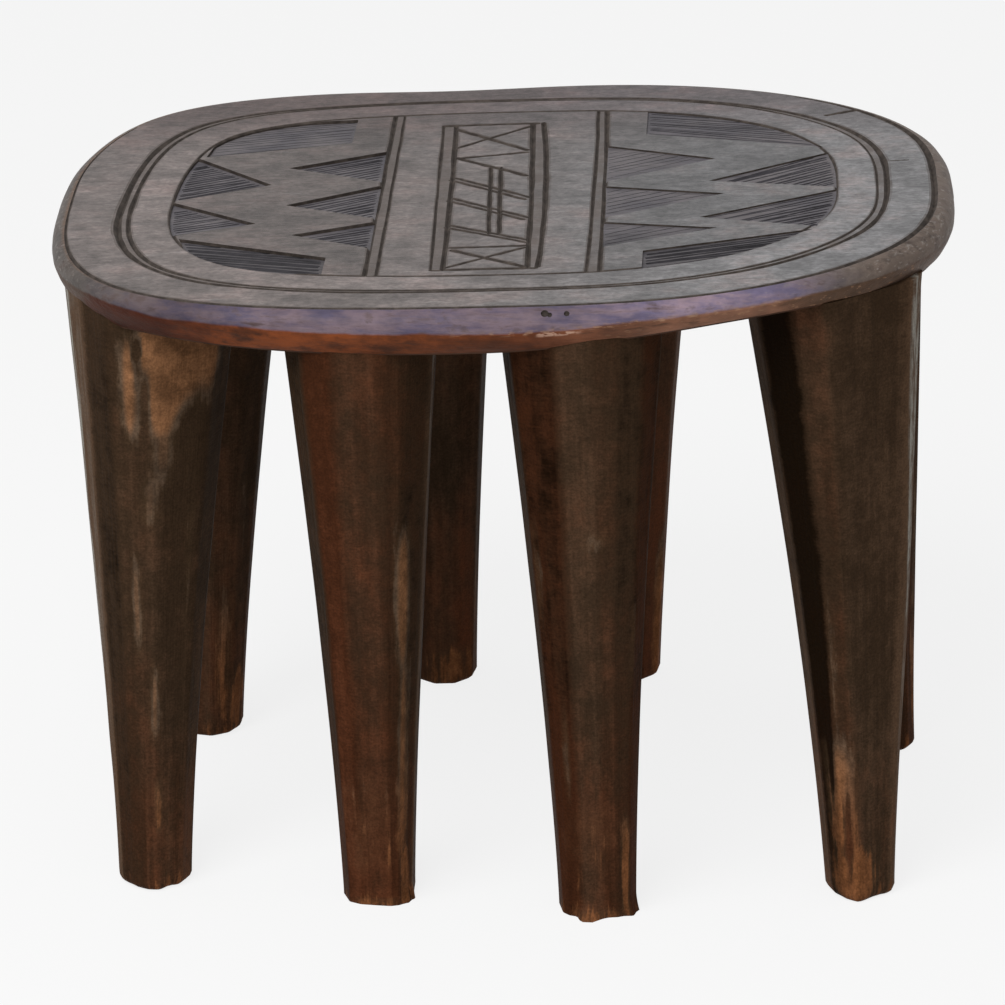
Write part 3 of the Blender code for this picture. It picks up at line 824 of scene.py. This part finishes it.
def leg_heights(length):
    """Heights of a leg's rings, closer together round its worn foot."""
    low = FOOT_WEAR_HEIGHT
    steps = math.ceil(length / LEG_RING_STEP)
    return list(FOOT_RING_HEIGHTS) + [low + (length - low) * i / steps for i in range(steps + 1)]


def nearness(turn, direction, spread):
    """One at a direction, easing to nothing away from it. All in degrees."""
    off = (turn - direction + 180.0) % 360.0 - 180.0
    return math.exp(-(off / spread) ** 2)


def bareness(node, turn, height):
    """How bare the wood of a leg is rubbed at a direction and height."""
    bare, stained = 0.0, 0.0
    for direction, middle, spread, reach, strength in WORN_PLACES.get(node, ()):
        off = (height - middle) / reach
        here = strength * nearness(turn, direction, spread) * math.exp(-off ** 4)
        bare, stained = max(bare, here), min(stained, here)
    return bare + stained


def lean_sides(ring, sides, share):
    """Moves both sides of a leg's ring by their measures at the seat, the middle and the foot."""
    leans = []
    for seat_end, middle, foot_end in sides:
        leans.append(between(((0.0, foot_end), (0.5, middle), (1.0, seat_end)), share)[0] * MM)
    low, high = min(point.x for point in ring), max(point.x for point in ring)
    for point in ring:
        side = (point.x - low) / (high - low)
        point.x += leans[0] + (leans[1] - leans[0]) * side


def facet_corners(node, height, share, outward, seed):
    """Where the facets of a leg meet at a height, from the leg's middle line."""
    half_width, half_breadth, facets = LEGS[node]
    along = Vector((outward.y, -outward.x))
    bearing = math.degrees(math.atan2(along.y, along.x))
    sawn = node in SAWN_FEET
    foot_power = 2.0 / SAWN_SQUARENESS if sawn else 1.0
    leg_power = 2.0 / LEG_SQUARENESS
    rounding = 0.0 if sawn else FOOT_ROUNDING * max(0.0, 1.0 - height / FOOT_ROUNDING_HEIGHT) ** 2
    corners = []
    for k, (direction, _, _) in enumerate(facets):
        wander = FACET_WANDER * noise.noise(Vector((k * 5.0, height * 9.0, seed)))
        turn = math.radians(direction - bearing + wander)
        x, y = math.cos(turn), math.sin(turn)
        low = Vector((signed_power(x, foot_power), signed_power(y, foot_power)))
        low *= FOOT_HALF - rounding
        high = Vector((half_width * signed_power(x, leg_power), half_breadth * signed_power(y, leg_power)))
        corner = low.lerp(high, share ** TAPER_POWER)
        corners.append(along * corner.x + outward * corner.y)
    return corners


def make_leg(node, place, finish, seed):
    """One hewn leg, from its worn foot up into the seat, with what its finish needs to know."""
    _, half_breadth, facets = LEGS[node]
    foot, shoulder = leg_ends(node, place)
    outward = leg_facing(shoulder, half_breadth)
    rings, straight, tones, redness, bare = [], [], [], [], []
    for height in leg_heights(shoulder.z + LEG_REACH_INTO_SEAT):
        share = height / shoulder.z
        wear_share = max(0.0, 1.0 - height / FOOT_WEAR_HEIGHT)
        middle = foot.lerp(shoulder, share)
        middle.y -= LEG_FORWARD.get(node, 0.0) * MM * share
        corners = facet_corners(node, height, share, outward, seed)
        ring = []
        for k, (direction, tone, red) in enumerate(facets):
            first, second = corners[k], corners[(k + 1) % len(facets)]
            width = (facets[(k + 1) % len(facets)][0] - direction) % 360.0
            hewn = HEWN_DEPTH * noise.noise(Vector((k * 3.7, height * 20.0, seed)))
            drift = TONE_DRIFT * noise.noise(Vector((k * 5.3, height * 7.0, seed + 0.5)))
            for facet_share in FACET_SHARES:
                side = -1 if facet_share < 0.5 else 1
                near_edge = EDGE_BLEND if abs(facet_share - 0.5) > EDGE_FROM else 0.0
                _, next_tone, next_red = facets[(k + side) % len(facets)]
                turn = direction + width * facet_share
                spot = first.lerp(second, facet_share)
                out = spot.normalized()
                spot += out * hewn * 4.0 * facet_share * (1.0 - facet_share)
                for wear_direction, spread, worn_in in WORN_SOLES.get(node, ()):
                    spot -= out * worn_in * MM * wear_share * nearness(turn, wear_direction, spread)
                ring.append(Vector((middle.x + spot.x, middle.y + spot.y, height)))
                straight.append((*(out * STRAIGHT_LEG_RADIUS), height + seed * GRAIN_STEP))
                tones.append(tone + drift + (next_tone - tone) * near_edge)
                redness.append(red + (next_red - red) * near_edge)
                bare.append(bareness(node, turn, height))
        if node in LEG_SIDES:
            lean_sides(ring, LEG_SIDES[node], share)
        rings.append(ring)
    leg = raise_rings("hewn_" + node, rings)
    leg.data.materials.append(finish)
    store(leg, "straight", "FLOAT_VECTOR", [value for point in straight for value in point])
    store(leg, "tone", "FLOAT", tones)
    store(leg, "bare", "FLOAT", bare)
    store(leg, "redness", "FLOAT", redness)
    only(leg)
    bpy.ops.object.shade_smooth_by_angle(angle=math.radians(LEG_CREASE))
    return leg


def store(piece, name, kind, values, where="POINT"):
    """Keeps a value for each vertex, or face corner, of a piece, for its finish to read."""
    attribute = piece.data.attributes.new(name, kind, where)
    attribute.data.foreach_set("vector" if kind == "FLOAT_VECTOR" else "value", values)


class Wire:
    """A socket of a finish. Sums on wires add Math nodes."""

    def __init__(self, tree, socket):
        self.tree = tree
        self.socket = socket

    def node(self, kind, settings=None, sockets=None, output=0):
        """Adds a node with settings and with values or wires in its sockets. Gives one of its outputs."""
        made = self.tree.nodes.new(kind)
        for name, value in (settings or {}).items():
            setattr(made, name, value)
        for key, value in (sockets or {}).items():
            if isinstance(value, Wire):
                self.tree.links.new(value.socket, made.inputs[key])
            elif isinstance(value, tuple) and made.inputs[key].type == "RGBA":
                made.inputs[key].default_value = (*value, 1.0)
            else:
                made.inputs[key].default_value = value
        return Wire(self.tree, made.outputs[output])

    def sum(self, operation, first, second):
        """Adds a Math node on two values or wires."""
        return self.node("ShaderNodeMath", {"operation": operation}, {0: first, 1: second})

    def __add__(self, other):
        return self.sum("ADD", self, other)

    def __radd__(self, other):
        return self.sum("ADD", other, self)

    def __sub__(self, other):
        return self.sum("SUBTRACT", self, other)

    def __rsub__(self, other):
        return self.sum("SUBTRACT", other, self)

    def __mul__(self, other):
        return self.sum("MULTIPLY", self, other)

    def __rmul__(self, other):
        return self.sum("MULTIPLY", other, self)


class Finish:
    """A wood finish in the making."""

    def __init__(self, name, specular=0.3):
        self.material = bpy.data.materials.new(name)
        self.material.use_nodes = True
        tree = self.material.node_tree
        self.shader = tree.nodes["Principled BSDF"]
        self.shader.inputs["Specular IOR Level"].default_value = specular
        self.tree = tree
        self.start = Wire(tree, None)
        self.place = self.start.node("ShaderNodeTexCoord", output=3)

    def read(self, name, vector=False):
        """A value kept on the vertices of the piece."""
        return self.start.node("ShaderNodeAttribute", {"attribute_name": name}, output=1 if vector else 2)

    def noise(self, place, stretch, scale, detail=3.0, roughness=0.55, turn=0.0):
        """Noise over a place, with its scale stretched along each axis and turned about the upright one."""
        laid = {"Vector": place, "Scale": stretch, "Rotation": (0.0, 0.0, turn)}
        mapped = self.start.node("ShaderNodeMapping", {}, laid)
        grains = {"Vector": mapped, "Scale": scale, "Detail": detail, "Roughness": roughness}
        return self.start.node("ShaderNodeTexNoise", {}, grains)

    def ramp(self, value, low, high, start=0.0, end=1.0):
        """Eases from one value to another as a wire goes from low to high."""
        ends = {"Value": value, "From Min": low, "From Max": high, "To Min": start, "To Max": end}
        return self.start.node("ShaderNodeMapRange", {"interpolation_type": "SMOOTHSTEP"}, ends)

    def mix(self, share, first, second):
        """Mixes two colours."""
        colours = {0: share, 6: first, 7: second}
        return self.start.node("ShaderNodeMix", {"data_type": "RGBA"}, colours, output=2)

    def shade(self, colour, factor):
        """Makes a colour lighter or darker by a factor."""
        return self.start.node("ShaderNodeVectorMath", {"operation": "SCALE"}, {0: colour, "Scale": factor})

    def tint(self, colour, other):
        """Multiplies a colour by another."""
        return self.start.node("ShaderNodeVectorMath", {"operation": "MULTIPLY"}, {0: colour, 1: other})

    def size(self, value):
        """A value without its sign."""
        return self.start.sum("ABSOLUTE", value, 0.0)

    def axis(self, name):
        """One coordinate of the place on the piece."""
        return self.start.node("ShaderNodeSeparateXYZ", {}, {"Vector": self.place}, output="XYZ".index(name))

    def oval(self, half):
        """Below one inside an oval of the seat, and above one outside it."""
        shares = [self.size(self.axis(name) * (1.0 / reach)) for name, reach in zip("XY", half)]
        powers = [self.start.sum("POWER", share, SQUARENESS) for share in shares]
        return powers[0] + powers[1]

    def done(self, colour, roughness, height=None, bump=0.001):
        """Joins colour, roughness and relief to the shader."""
        self.tree.links.new(colour.socket, self.shader.inputs["Base Color"])
        self.tree.links.new(roughness.socket, self.shader.inputs["Roughness"])
        if height is not None:
            relief = {"Strength": 1.0, "Distance": bump, "Height": height}
            normal = self.start.node("ShaderNodeBump", {}, relief)
            self.tree.links.new(normal.socket, self.shader.inputs["Normal"])
        return self.material


def top_wood(finish):
    """Colour, grain and cloud of the top: grey, handled wood, warm on the left, greyer and lighter to the
    right (partly its own tone, partly a painted sheen) and dark at the back.
    """
    grain = finish.noise(finish.place, (1.0, 6.0, 1.0), 60.0, 8.0, 0.74)
    cloud = finish.noise(finish.place, (1.0, 1.6, 1.0), 22.0, 7.0, 0.70)
    blot = finish.noise(finish.place, (1.0, 1.4, 1.0), 95.0, 4.0, 0.62)
    broad = finish.noise(finish.place, (1.0, 1.5, 1.0), 8.0)
    speck = finish.noise(finish.place, (1.0, 1.6, 1.0), 340.0, 3.0, 0.65)
    pore = finish.noise(finish.place, (1.0, 7.0, 1.0), 170.0, 2.0, 0.5)
    scuff = finish.noise(finish.place, (1.0, 7.0, 1.0), 38.0, 3.0, 0.6, turn=0.5)
    across, deep = finish.axis("X"), finish.axis("Y")
    # Greyer and lighter to the right: partly the wood's own tone, partly a painted sheen.
    cool_sheen = finish.ramp(across + broad * 0.16, -0.02, 0.20)
    colour = finish.mix(cool_sheen, (0.186, 0.158, 0.149), (0.208, 0.204, 0.208))
    colour = finish.mix(finish.ramp(cloud, 0.48, 0.68) * 0.5, colour, (0.190, 0.138, 0.128))
    colour = finish.mix(finish.ramp(scuff, 0.60, 0.74) * 0.35, colour, (0.30, 0.29, 0.285))
    colour = finish.mix(finish.ramp(deep, 0.06, 0.16), colour, finish.tint(colour, (1.0, 0.88, 0.89)))
    back = finish.ramp(deep + broad * 0.06, 0.06, 0.19, 1.0, 0.62)
    field = finish.ramp(finish.oval(FIELD_HALF), 1.1, 0.9)
    teeth = field * finish.ramp(finish.size(across + 0.006), 0.050, 0.062)
    rim_band = finish.ramp(finish.oval(RING_HALF), 0.95, 1.10) * finish.ramp(across, 0.08, 0.18, 1.0, 0.3)
    zone = 1.0 - field * 0.18 - teeth * finish.ramp(across, -0.05, 0.05, 0.20, 0.12) - rim_band * 0.12
    light = finish.ramp(cloud, 0.30, 0.70, 0.64, 1.33) * finish.ramp(blot, 0.32, 0.68, 0.80, 1.19)
    lines = finish.ramp(grain, 0.34, 0.66, 1.09, 0.86) * finish.ramp(pore, 0.60, 0.70, 1.0, 0.66)
    specks = finish.ramp(speck, 0.30, 0.70, 0.78, 1.20)
    return finish.shade(colour, back * zone * light * lines * specks), grain, cloud


def weathered_top():
    """The handled top."""
    finish = Finish("weathered_top", 0.25)
    colour, grain, cloud = top_wood(finish)
    return finish.done(colour, 0.45 + cloud * 0.2, grain, 0.0005)


def stained(name, least, most, stain):
    """Wood of the top, stained unevenly."""
    finish = Finish(name, 0.2)
    colour, grain, cloud = top_wood(finish)
    share = finish.ramp(finish.noise(finish.place, (1.0, 1.0, 1.0), 90.0), 0.35, 0.65, least, most)
    return finish.done(finish.mix(share, colour, stain), 0.5 + cloud * 0.2, grain, 0.0005)


def worn_shoulder():
    """The stained shoulders beside the cut lines."""
    return stained("worn_shoulder", 0.25, 0.75, (0.078, 0.062, 0.054))


def sunk_band():
    """The sunk bands between double lines."""
    return stained("sunk_band", 0.40, 0.85, (0.098, 0.080, 0.071))


def rolled_edge(finish, grain, cloud, spot, fleck, height, right):
    """Colour of the rolled edge: grey, with a painted lavender sheen along the front that stands for a
    reflection, and flecked ends.
    """
    along = finish.axis("X")
    roll = finish.mix(finish.ramp(cloud, 0.35, 0.68), (0.068, 0.056, 0.050), (0.162, 0.136, 0.122))
    roll = finish.mix(finish.ramp(along + cloud * 0.1, 0.17, 0.24) * 0.6, roll, (0.150, 0.108, 0.084))
    roll = finish.mix(finish.ramp(along, -0.13, -0.19) * 0.65, roll, (0.080, 0.070, 0.064))
    left_crest = finish.ramp(along, -0.14, -0.19) * finish.ramp(height, 0.86, 0.98)
    roll = finish.mix(left_crest * 0.5, roll, (0.170, 0.088, 0.046))
    patches = finish.ramp(cloud * 0.6 + grain * 0.4, 0.40, 0.60)
    # Painted reflection: a lavender sheen along the front of the rolled edge, lighter to the right.
    lavender_sheen = finish.mix(patches, (0.084, 0.070, 0.112), (0.166, 0.120, 0.140))
    lavender_sheen = finish.shade(lavender_sheen, finish.ramp(along, 0.02, 0.10, 1.0, 1.75))
    # Painted shade: the sheen darkens to the left, where the roll lies in shadow.
    lavender_sheen = finish.shade(lavender_sheen, finish.ramp(along, -0.100, -0.145, 1.0, 0.58))
    lavender_sheen = finish.mix(finish.ramp(along, 0.13, 0.18), lavender_sheen, (0.118, 0.104, 0.112))
    # Where the painted lavender sheen shows: along the front, short of both ends.
    front = finish.ramp(finish.axis("Y") + cloud * 0.03, -0.095, -0.145)
    uneven = along + cloud * 0.08
    reach = finish.ramp(uneven, -0.205, -0.150) * finish.ramp(uneven, 0.235, 0.185)
    roll = finish.mix(front * reach, roll, lavender_sheen)
    roll = finish.mix(finish.ramp(spot, 0.54, 0.68) * 0.6, roll, (0.066, 0.044, 0.038))
    tips = finish.ramp(finish.size(along + 0.01) + cloud * 0.06, 0.190, 0.235)
    roll = finish.mix(finish.ramp(cloud + grain, 1.02, 1.16) * tips * 0.55, roll, (0.060, 0.045, 0.038))
    roll = finish.mix(finish.ramp(fleck + grain * 0.5, 0.80, 0.98) * tips * 0.5, roll, (0.280, 0.252, 0.230))
    return finish.mix(finish.ramp(fleck, 0.60, 0.72) * right * 0.3, roll, (0.270, 0.235, 0.205))


def lip_wood(finish, cloud, spot, fleck, right):
    """Colour of the lip under the edge: red-brown, and rubbed paler to the right."""
    along = finish.axis("X")
    lip = finish.mix(finish.ramp(cloud, 0.35, 0.68), (0.058, 0.017, 0.006), (0.142, 0.037, 0.011))
    left = finish.ramp(along, 0.02, -0.07) * finish.ramp(along, -0.165, -0.130)
    lip = finish.mix(finish.ramp(spot, 0.34, 0.64) * left * 0.6, lip, (0.205, 0.050, 0.012))
    lip = finish.mix(right * 0.75, lip, (0.265, 0.132, 0.082))
    lip = finish.mix(finish.ramp(along + cloud * 0.05, 0.150, 0.180), lip, (0.082, 0.044, 0.025))
    lip = finish.mix(finish.ramp(along + cloud * 0.05, -0.088, -0.128), lip, (0.046, 0.009, 0.002))
    lip = finish.mix(finish.ramp(along + spot * 0.03, -0.170, -0.185), lip, (0.066, 0.036, 0.022))
    lip = finish.mix(finish.ramp(along + cloud * 0.06, 0.205, 0.230), lip, (0.095, 0.062, 0.046))
    return finish.mix(finish.ramp(fleck, 0.60, 0.70) * right * 0.7, lip, (0.290, 0.160, 0.090))


def handled_rim():
    """The rim: a rolled edge over a lip, worn along the line where they meet, with a painted highlight along
    that line and a painted glint on it.
    """
    finish = Finish("handled_rim", 0.12)
    grain = finish.noise(finish.place, (1.0, 5.0, 8.0), 36.0, 4.0, 0.65)
    cloud = finish.noise(finish.place, (1.0, 1.0, 2.5), 30.0, 4.0, 0.62)
    spot = finish.noise(finish.place, (1.0, 1.0, 1.8), 85.0, 4.0, 0.62)
    fleck = finish.noise(finish.place, (1.0, 1.0, 3.0), 230.0, 2.0, 0.6)
    along = finish.axis("X")
    right = finish.ramp(along + cloud * 0.1, 0.06, 0.17)
    height = finish.read("rim_height") + cloud * 0.10 - 0.05
    roll = rolled_edge(finish, grain, cloud, spot, fleck, height, right)
    lip = lip_wood(finish, cloud, spot, fleck, right)
    colour = finish.mix(finish.ramp(height, 0.52, 0.48), roll, lip)
    # Paler along the widest line: partly real wear, partly a painted highlight on the crisp edge.
    worn = finish.ramp(finish.size(height - 0.48), 0.08, 0.0) * finish.ramp(fleck, 0.50, 0.62)
    worn = worn * finish.ramp(along, -0.03, 0.01) * finish.ramp(along, 0.16, 0.11)
    colour = finish.mix(worn * 0.7, colour, (0.290, 0.170, 0.110))
    # Painted glint: a small pale spot on the lip's edge near the middle of the front.
    glint = finish.ramp(finish.size(along - 0.033), 0.013, 0.006)
    glint = glint * finish.ramp(finish.size(height - 0.42), 0.07, 0.03)
    colour = finish.mix(glint * finish.ramp(fleck, 0.44, 0.58) * 0.7, colour, (0.480, 0.300, 0.220))
    colour = finish.mix(finish.ramp(grain, 0.54, 0.74) * 0.65, colour, (0.034, 0.018, 0.012))
    colour = finish.shade(colour, finish.ramp(spot, 0.3, 0.7, 0.84, 1.18))
    return finish.done(colour, 0.42 + cloud * 0.2, grain, 0.0008)


def rough_underside():
    """The hewn underside."""
    finish = Finish("rough_underside", 0.1)
    grain = finish.noise(finish.place, (1.0, 8.0, 1.0), 30.0, 4.0, 0.65)
    colour = finish.mix(finish.ramp(grain, 0.3, 0.7), (0.036, 0.016, 0.009), (0.070, 0.032, 0.018))
    return finish.done(colour, 0.6 + grain * 0.2, grain, 0.001)


def cut_line():
    """The dark, dirt-filled lines of the gouge, and painted shade on the steep walls of the pockets."""
    finish = Finish("cut_line", 0.1)
    cloud = finish.noise(finish.place, (1.0, 1.0, 1.0), 160.0, 4.0, 0.65)
    colour = finish.mix(finish.ramp(cloud, 0.38, 0.70), (0.036, 0.029, 0.025), (0.080, 0.065, 0.056))
    return finish.done(colour, 0.6 + cloud * 0.2, cloud, 0.0003)


def slate(name, dark, light):
    """Wood of the pockets, dark as slate, with painted shade towards the front."""
    finish = Finish(name, 0.15)
    grain = finish.noise(finish.place, (1.0, 10.0, 1.0), 60.0, 4.0, 0.65)
    cloud = finish.noise(finish.place, (1.0, 1.0, 1.0), 32.0, 3.0, 0.6)
    colour = finish.mix(finish.ramp(cloud, 0.3, 0.7), dark, light)
    # Painted shade: the pockets grow darker towards the front.
    front = finish.ramp(finish.axis("Y"), -0.060, -0.085, 1.0, 0.68)
    colour = finish.shade(colour, front * finish.ramp(grain, 0.3, 0.7, 1.25, 0.75))
    return finish.done(colour, 0.5 + cloud * 0.2, grain, 0.0005)


def pocket_floor():
    """The floors of the pockets, between the hatching."""
    return slate("pocket_floor", (0.080, 0.074, 0.084), (0.138, 0.125, 0.129))


def hatch_cut():
    """The hatching of the pockets."""
    return slate("hatch_cut", (0.022, 0.020, 0.023), (0.054, 0.050, 0.057))


def oiled_leg():
    """Dark oiled leg wood: facets of unlike tone, streaked, dull in use and rubbed bare in places, with a
    painted sheen on some facets.
    """
    finish = Finish("oiled_leg", 0.015)
    straight = finish.read("straight", vector=True)
    streak = finish.noise(straight, (1.0, 1.0, 0.05), 240.0, 4.0, 0.65)
    band = finish.noise(straight, (1.0, 1.0, 0.07), 85.0, 3.0, 0.6)
    cloud = finish.noise(straight, (1.0, 1.0, 0.5), 36.0, 3.0, 0.6)
    chip = finish.noise(straight, (1.0, 1.0, 0.30), 150.0, 5.0, 0.68)
    blot = finish.noise(straight, (1.0, 1.0, 0.8), 120.0, 4.0, 0.68)
    chatter = finish.noise(straight, (1.0, 1.0, 4.0), 230.0, 3.0, 0.65)
    speck = finish.noise(finish.place, (1.0, 1.0, 1.0), 900.0, 2.0, 0.6)
    height = finish.axis("Z")
    facet = finish.read("tone")
    low = finish.ramp(height, 0.16, 0.02)
    tone = facet + cloud * 0.5 + band * 0.4 + streak * 0.4 + blot * 0.6 + chatter * 0.3 + low * 0.12 - 1.1
    colour = finish.mix(finish.ramp(tone, 0.0, 0.4), (0.0090, 0.0047, 0.0020), (0.0370, 0.0214, 0.0118))
    colour = finish.mix(finish.ramp(tone, 0.4, 0.95), colour, (0.0920, 0.0530, 0.0310))
    red = finish.ramp(finish.read("redness") + cloud * 0.6 + blot * 0.4 + low * 0.25 - 0.5, 0.2, 0.85)
    colour = finish.mix(red, colour, finish.tint(colour, (1.24, 0.72, 0.54)))
    # Painted sheen: pale grey on facets of high tone, fading lower down the leg.
    sheen = finish.ramp(facet, 0.9, 1.1) * finish.ramp(height, 0.06, 0.20)
    sheen = sheen * finish.ramp(chip + streak, 0.86, 1.12)
    colour = finish.mix(sheen, colour, (0.280, 0.262, 0.228))
    rubbed = finish.read("bare")
    dull = finish.ramp(rubbed + cloud * 0.4 + blot * 0.6 - 0.5, 0.15, 0.70)
    colour = finish.mix(dull * 0.6, colour, (0.066, 0.040, 0.021))
    raw = finish.mix(finish.ramp(rubbed, 0.45, 0.80), (0.096, 0.062, 0.040), (0.220, 0.102, 0.047))
    raw = finish.mix(finish.ramp(height, 0.10, 0.02) * 0.8, raw, (0.205, 0.074, 0.026))
    raw_light = finish.ramp(facet, 0.1, 0.6, 0.62, 1.10) * finish.ramp(blot, 0.32, 0.68, 0.62, 1.30)
    raw = finish.shade(raw, raw_light)
    foot = finish.ramp(height, 0.022, 0.0, 0.0, 0.40)
    worn = finish.start.sum("MAXIMUM", rubbed, foot)
    bare = finish.ramp(worn + chip * 0.9 + streak * 0.7 - 0.8, 0.32, 0.56)
    colour = finish.mix(bare * 0.85, colour, raw)
    colour = finish.shade(colour, finish.ramp(speck, 0.30, 0.70, 0.80, 1.14))
    return finish.done(colour, 0.46 + streak * 0.25, streak + chatter * 0.4, 0.0008)


def set_camera():
    """The camera, at the photograph's viewing angle."""
    data = bpy.data.cameras.new("photo_camera")
    data.lens = CAMERA_LENS
    data.sensor_width = CAMERA_SENSOR
    camera = bpy.data.objects.new("photo_camera", data)
    camera.location = CAMERA_PLACE
    camera.rotation_euler = (CAMERA_AIM - CAMERA_PLACE).to_track_quat("-Z", "Y").to_euler()
    bpy.context.scene.collection.objects.link(camera)
    bpy.context.scene.camera = camera


def seen_directly(start):
    """One for a ray from the camera or from a glossy or clear surface, and zero for other rays."""
    names = ("Is Camera Ray", "Is Glossy Ray", "Is Transmission Ray")
    rays = [start.node("ShaderNodeLightPath", output=name) for name in names]
    return start.sum("MAXIMUM", start.sum("MAXIMUM", rays[0], rays[1]), rays[2])


def set_floor():
    """A wide pale floor that keeps the stool's shadow."""
    bpy.ops.object.select_all(action="DESELECT")
    bpy.ops.mesh.primitive_plane_add(size=FLOOR_SIZE)
    floor = bpy.context.active_object
    floor.name = "pale_floor"
    material = bpy.data.materials.new("pale_floor")
    material.use_nodes = True
    tree = material.node_tree
    tree.nodes.remove(tree.nodes["Principled BSDF"])
    start = Wire(tree, None)
    paint = start.node("ShaderNodeBsdfDiffuse", {}, {"Color": FLOOR_PAINT})
    glow = start.node("ShaderNodeEmission", {}, {"Color": FLOOR_GLOW, "Strength": 1.0})
    share = seen_directly(start) * FLOOR_GLOW_SHARE
    mixed = start.node("ShaderNodeMixShader", {}, {0: share, 1: paint, 2: glow})
    tree.links.new(mixed.socket, tree.nodes["Material Output"].inputs["Surface"])
    floor.data.materials.append(material)


def set_light():
    """Even light from all round, and one large soft lamp above and in front."""
    world = bpy.data.worlds.new("studio")
    bpy.context.scene.world = world
    world.use_nodes = True
    tree = world.node_tree
    start = Wire(tree, None)
    lit = start.node("ShaderNodeBackground", {}, {"Color": PAPER, "Strength": SURROUND_STRENGTH})
    seen = start.node("ShaderNodeBackground", {}, {"Color": PAPER, "Strength": 1.0})
    tree.nodes.remove(tree.nodes["Background"])
    mixed = start.node("ShaderNodeMixShader", {}, {0: seen_directly(start), 1: lit, 2: seen})
    tree.links.new(mixed.socket, tree.nodes["World Output"].inputs["Surface"])
    data = bpy.data.lights.new("soft_lamp", "AREA")
    data.shape = "DISK"
    data.size = LAMP_SIZE
    data.energy = LAMP_ENERGY
    lamp = bpy.data.objects.new("soft_lamp", data)
    lamp.location = LAMP_PLACE
    lamp.rotation_euler = (Vector(LAMP_AIM) - lamp.location).to_track_quat("-Z", "Y").to_euler()
    bpy.context.scene.collection.objects.link(lamp)


def put_in_place(piece, node):
    """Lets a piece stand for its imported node."""
    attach(piece, "root")
    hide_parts(node)


set_camera()
seat_finishes = [
    weathered_top(), handled_rim(), rough_underside(), worn_shoulder(),
    cut_line(), pocket_floor(), hatch_cut(), sunk_band(),
]
put_in_place(make_seat(seat_finishes), "seat")
leg_finish = oiled_leg()
for number, leg_name in enumerate(LEGS):
    put_in_place(make_leg(leg_name, seat_place(), leg_finish, number), leg_name)
set_floor()
set_light()
bpy.context.scene.view_settings.view_transform = "Standard"
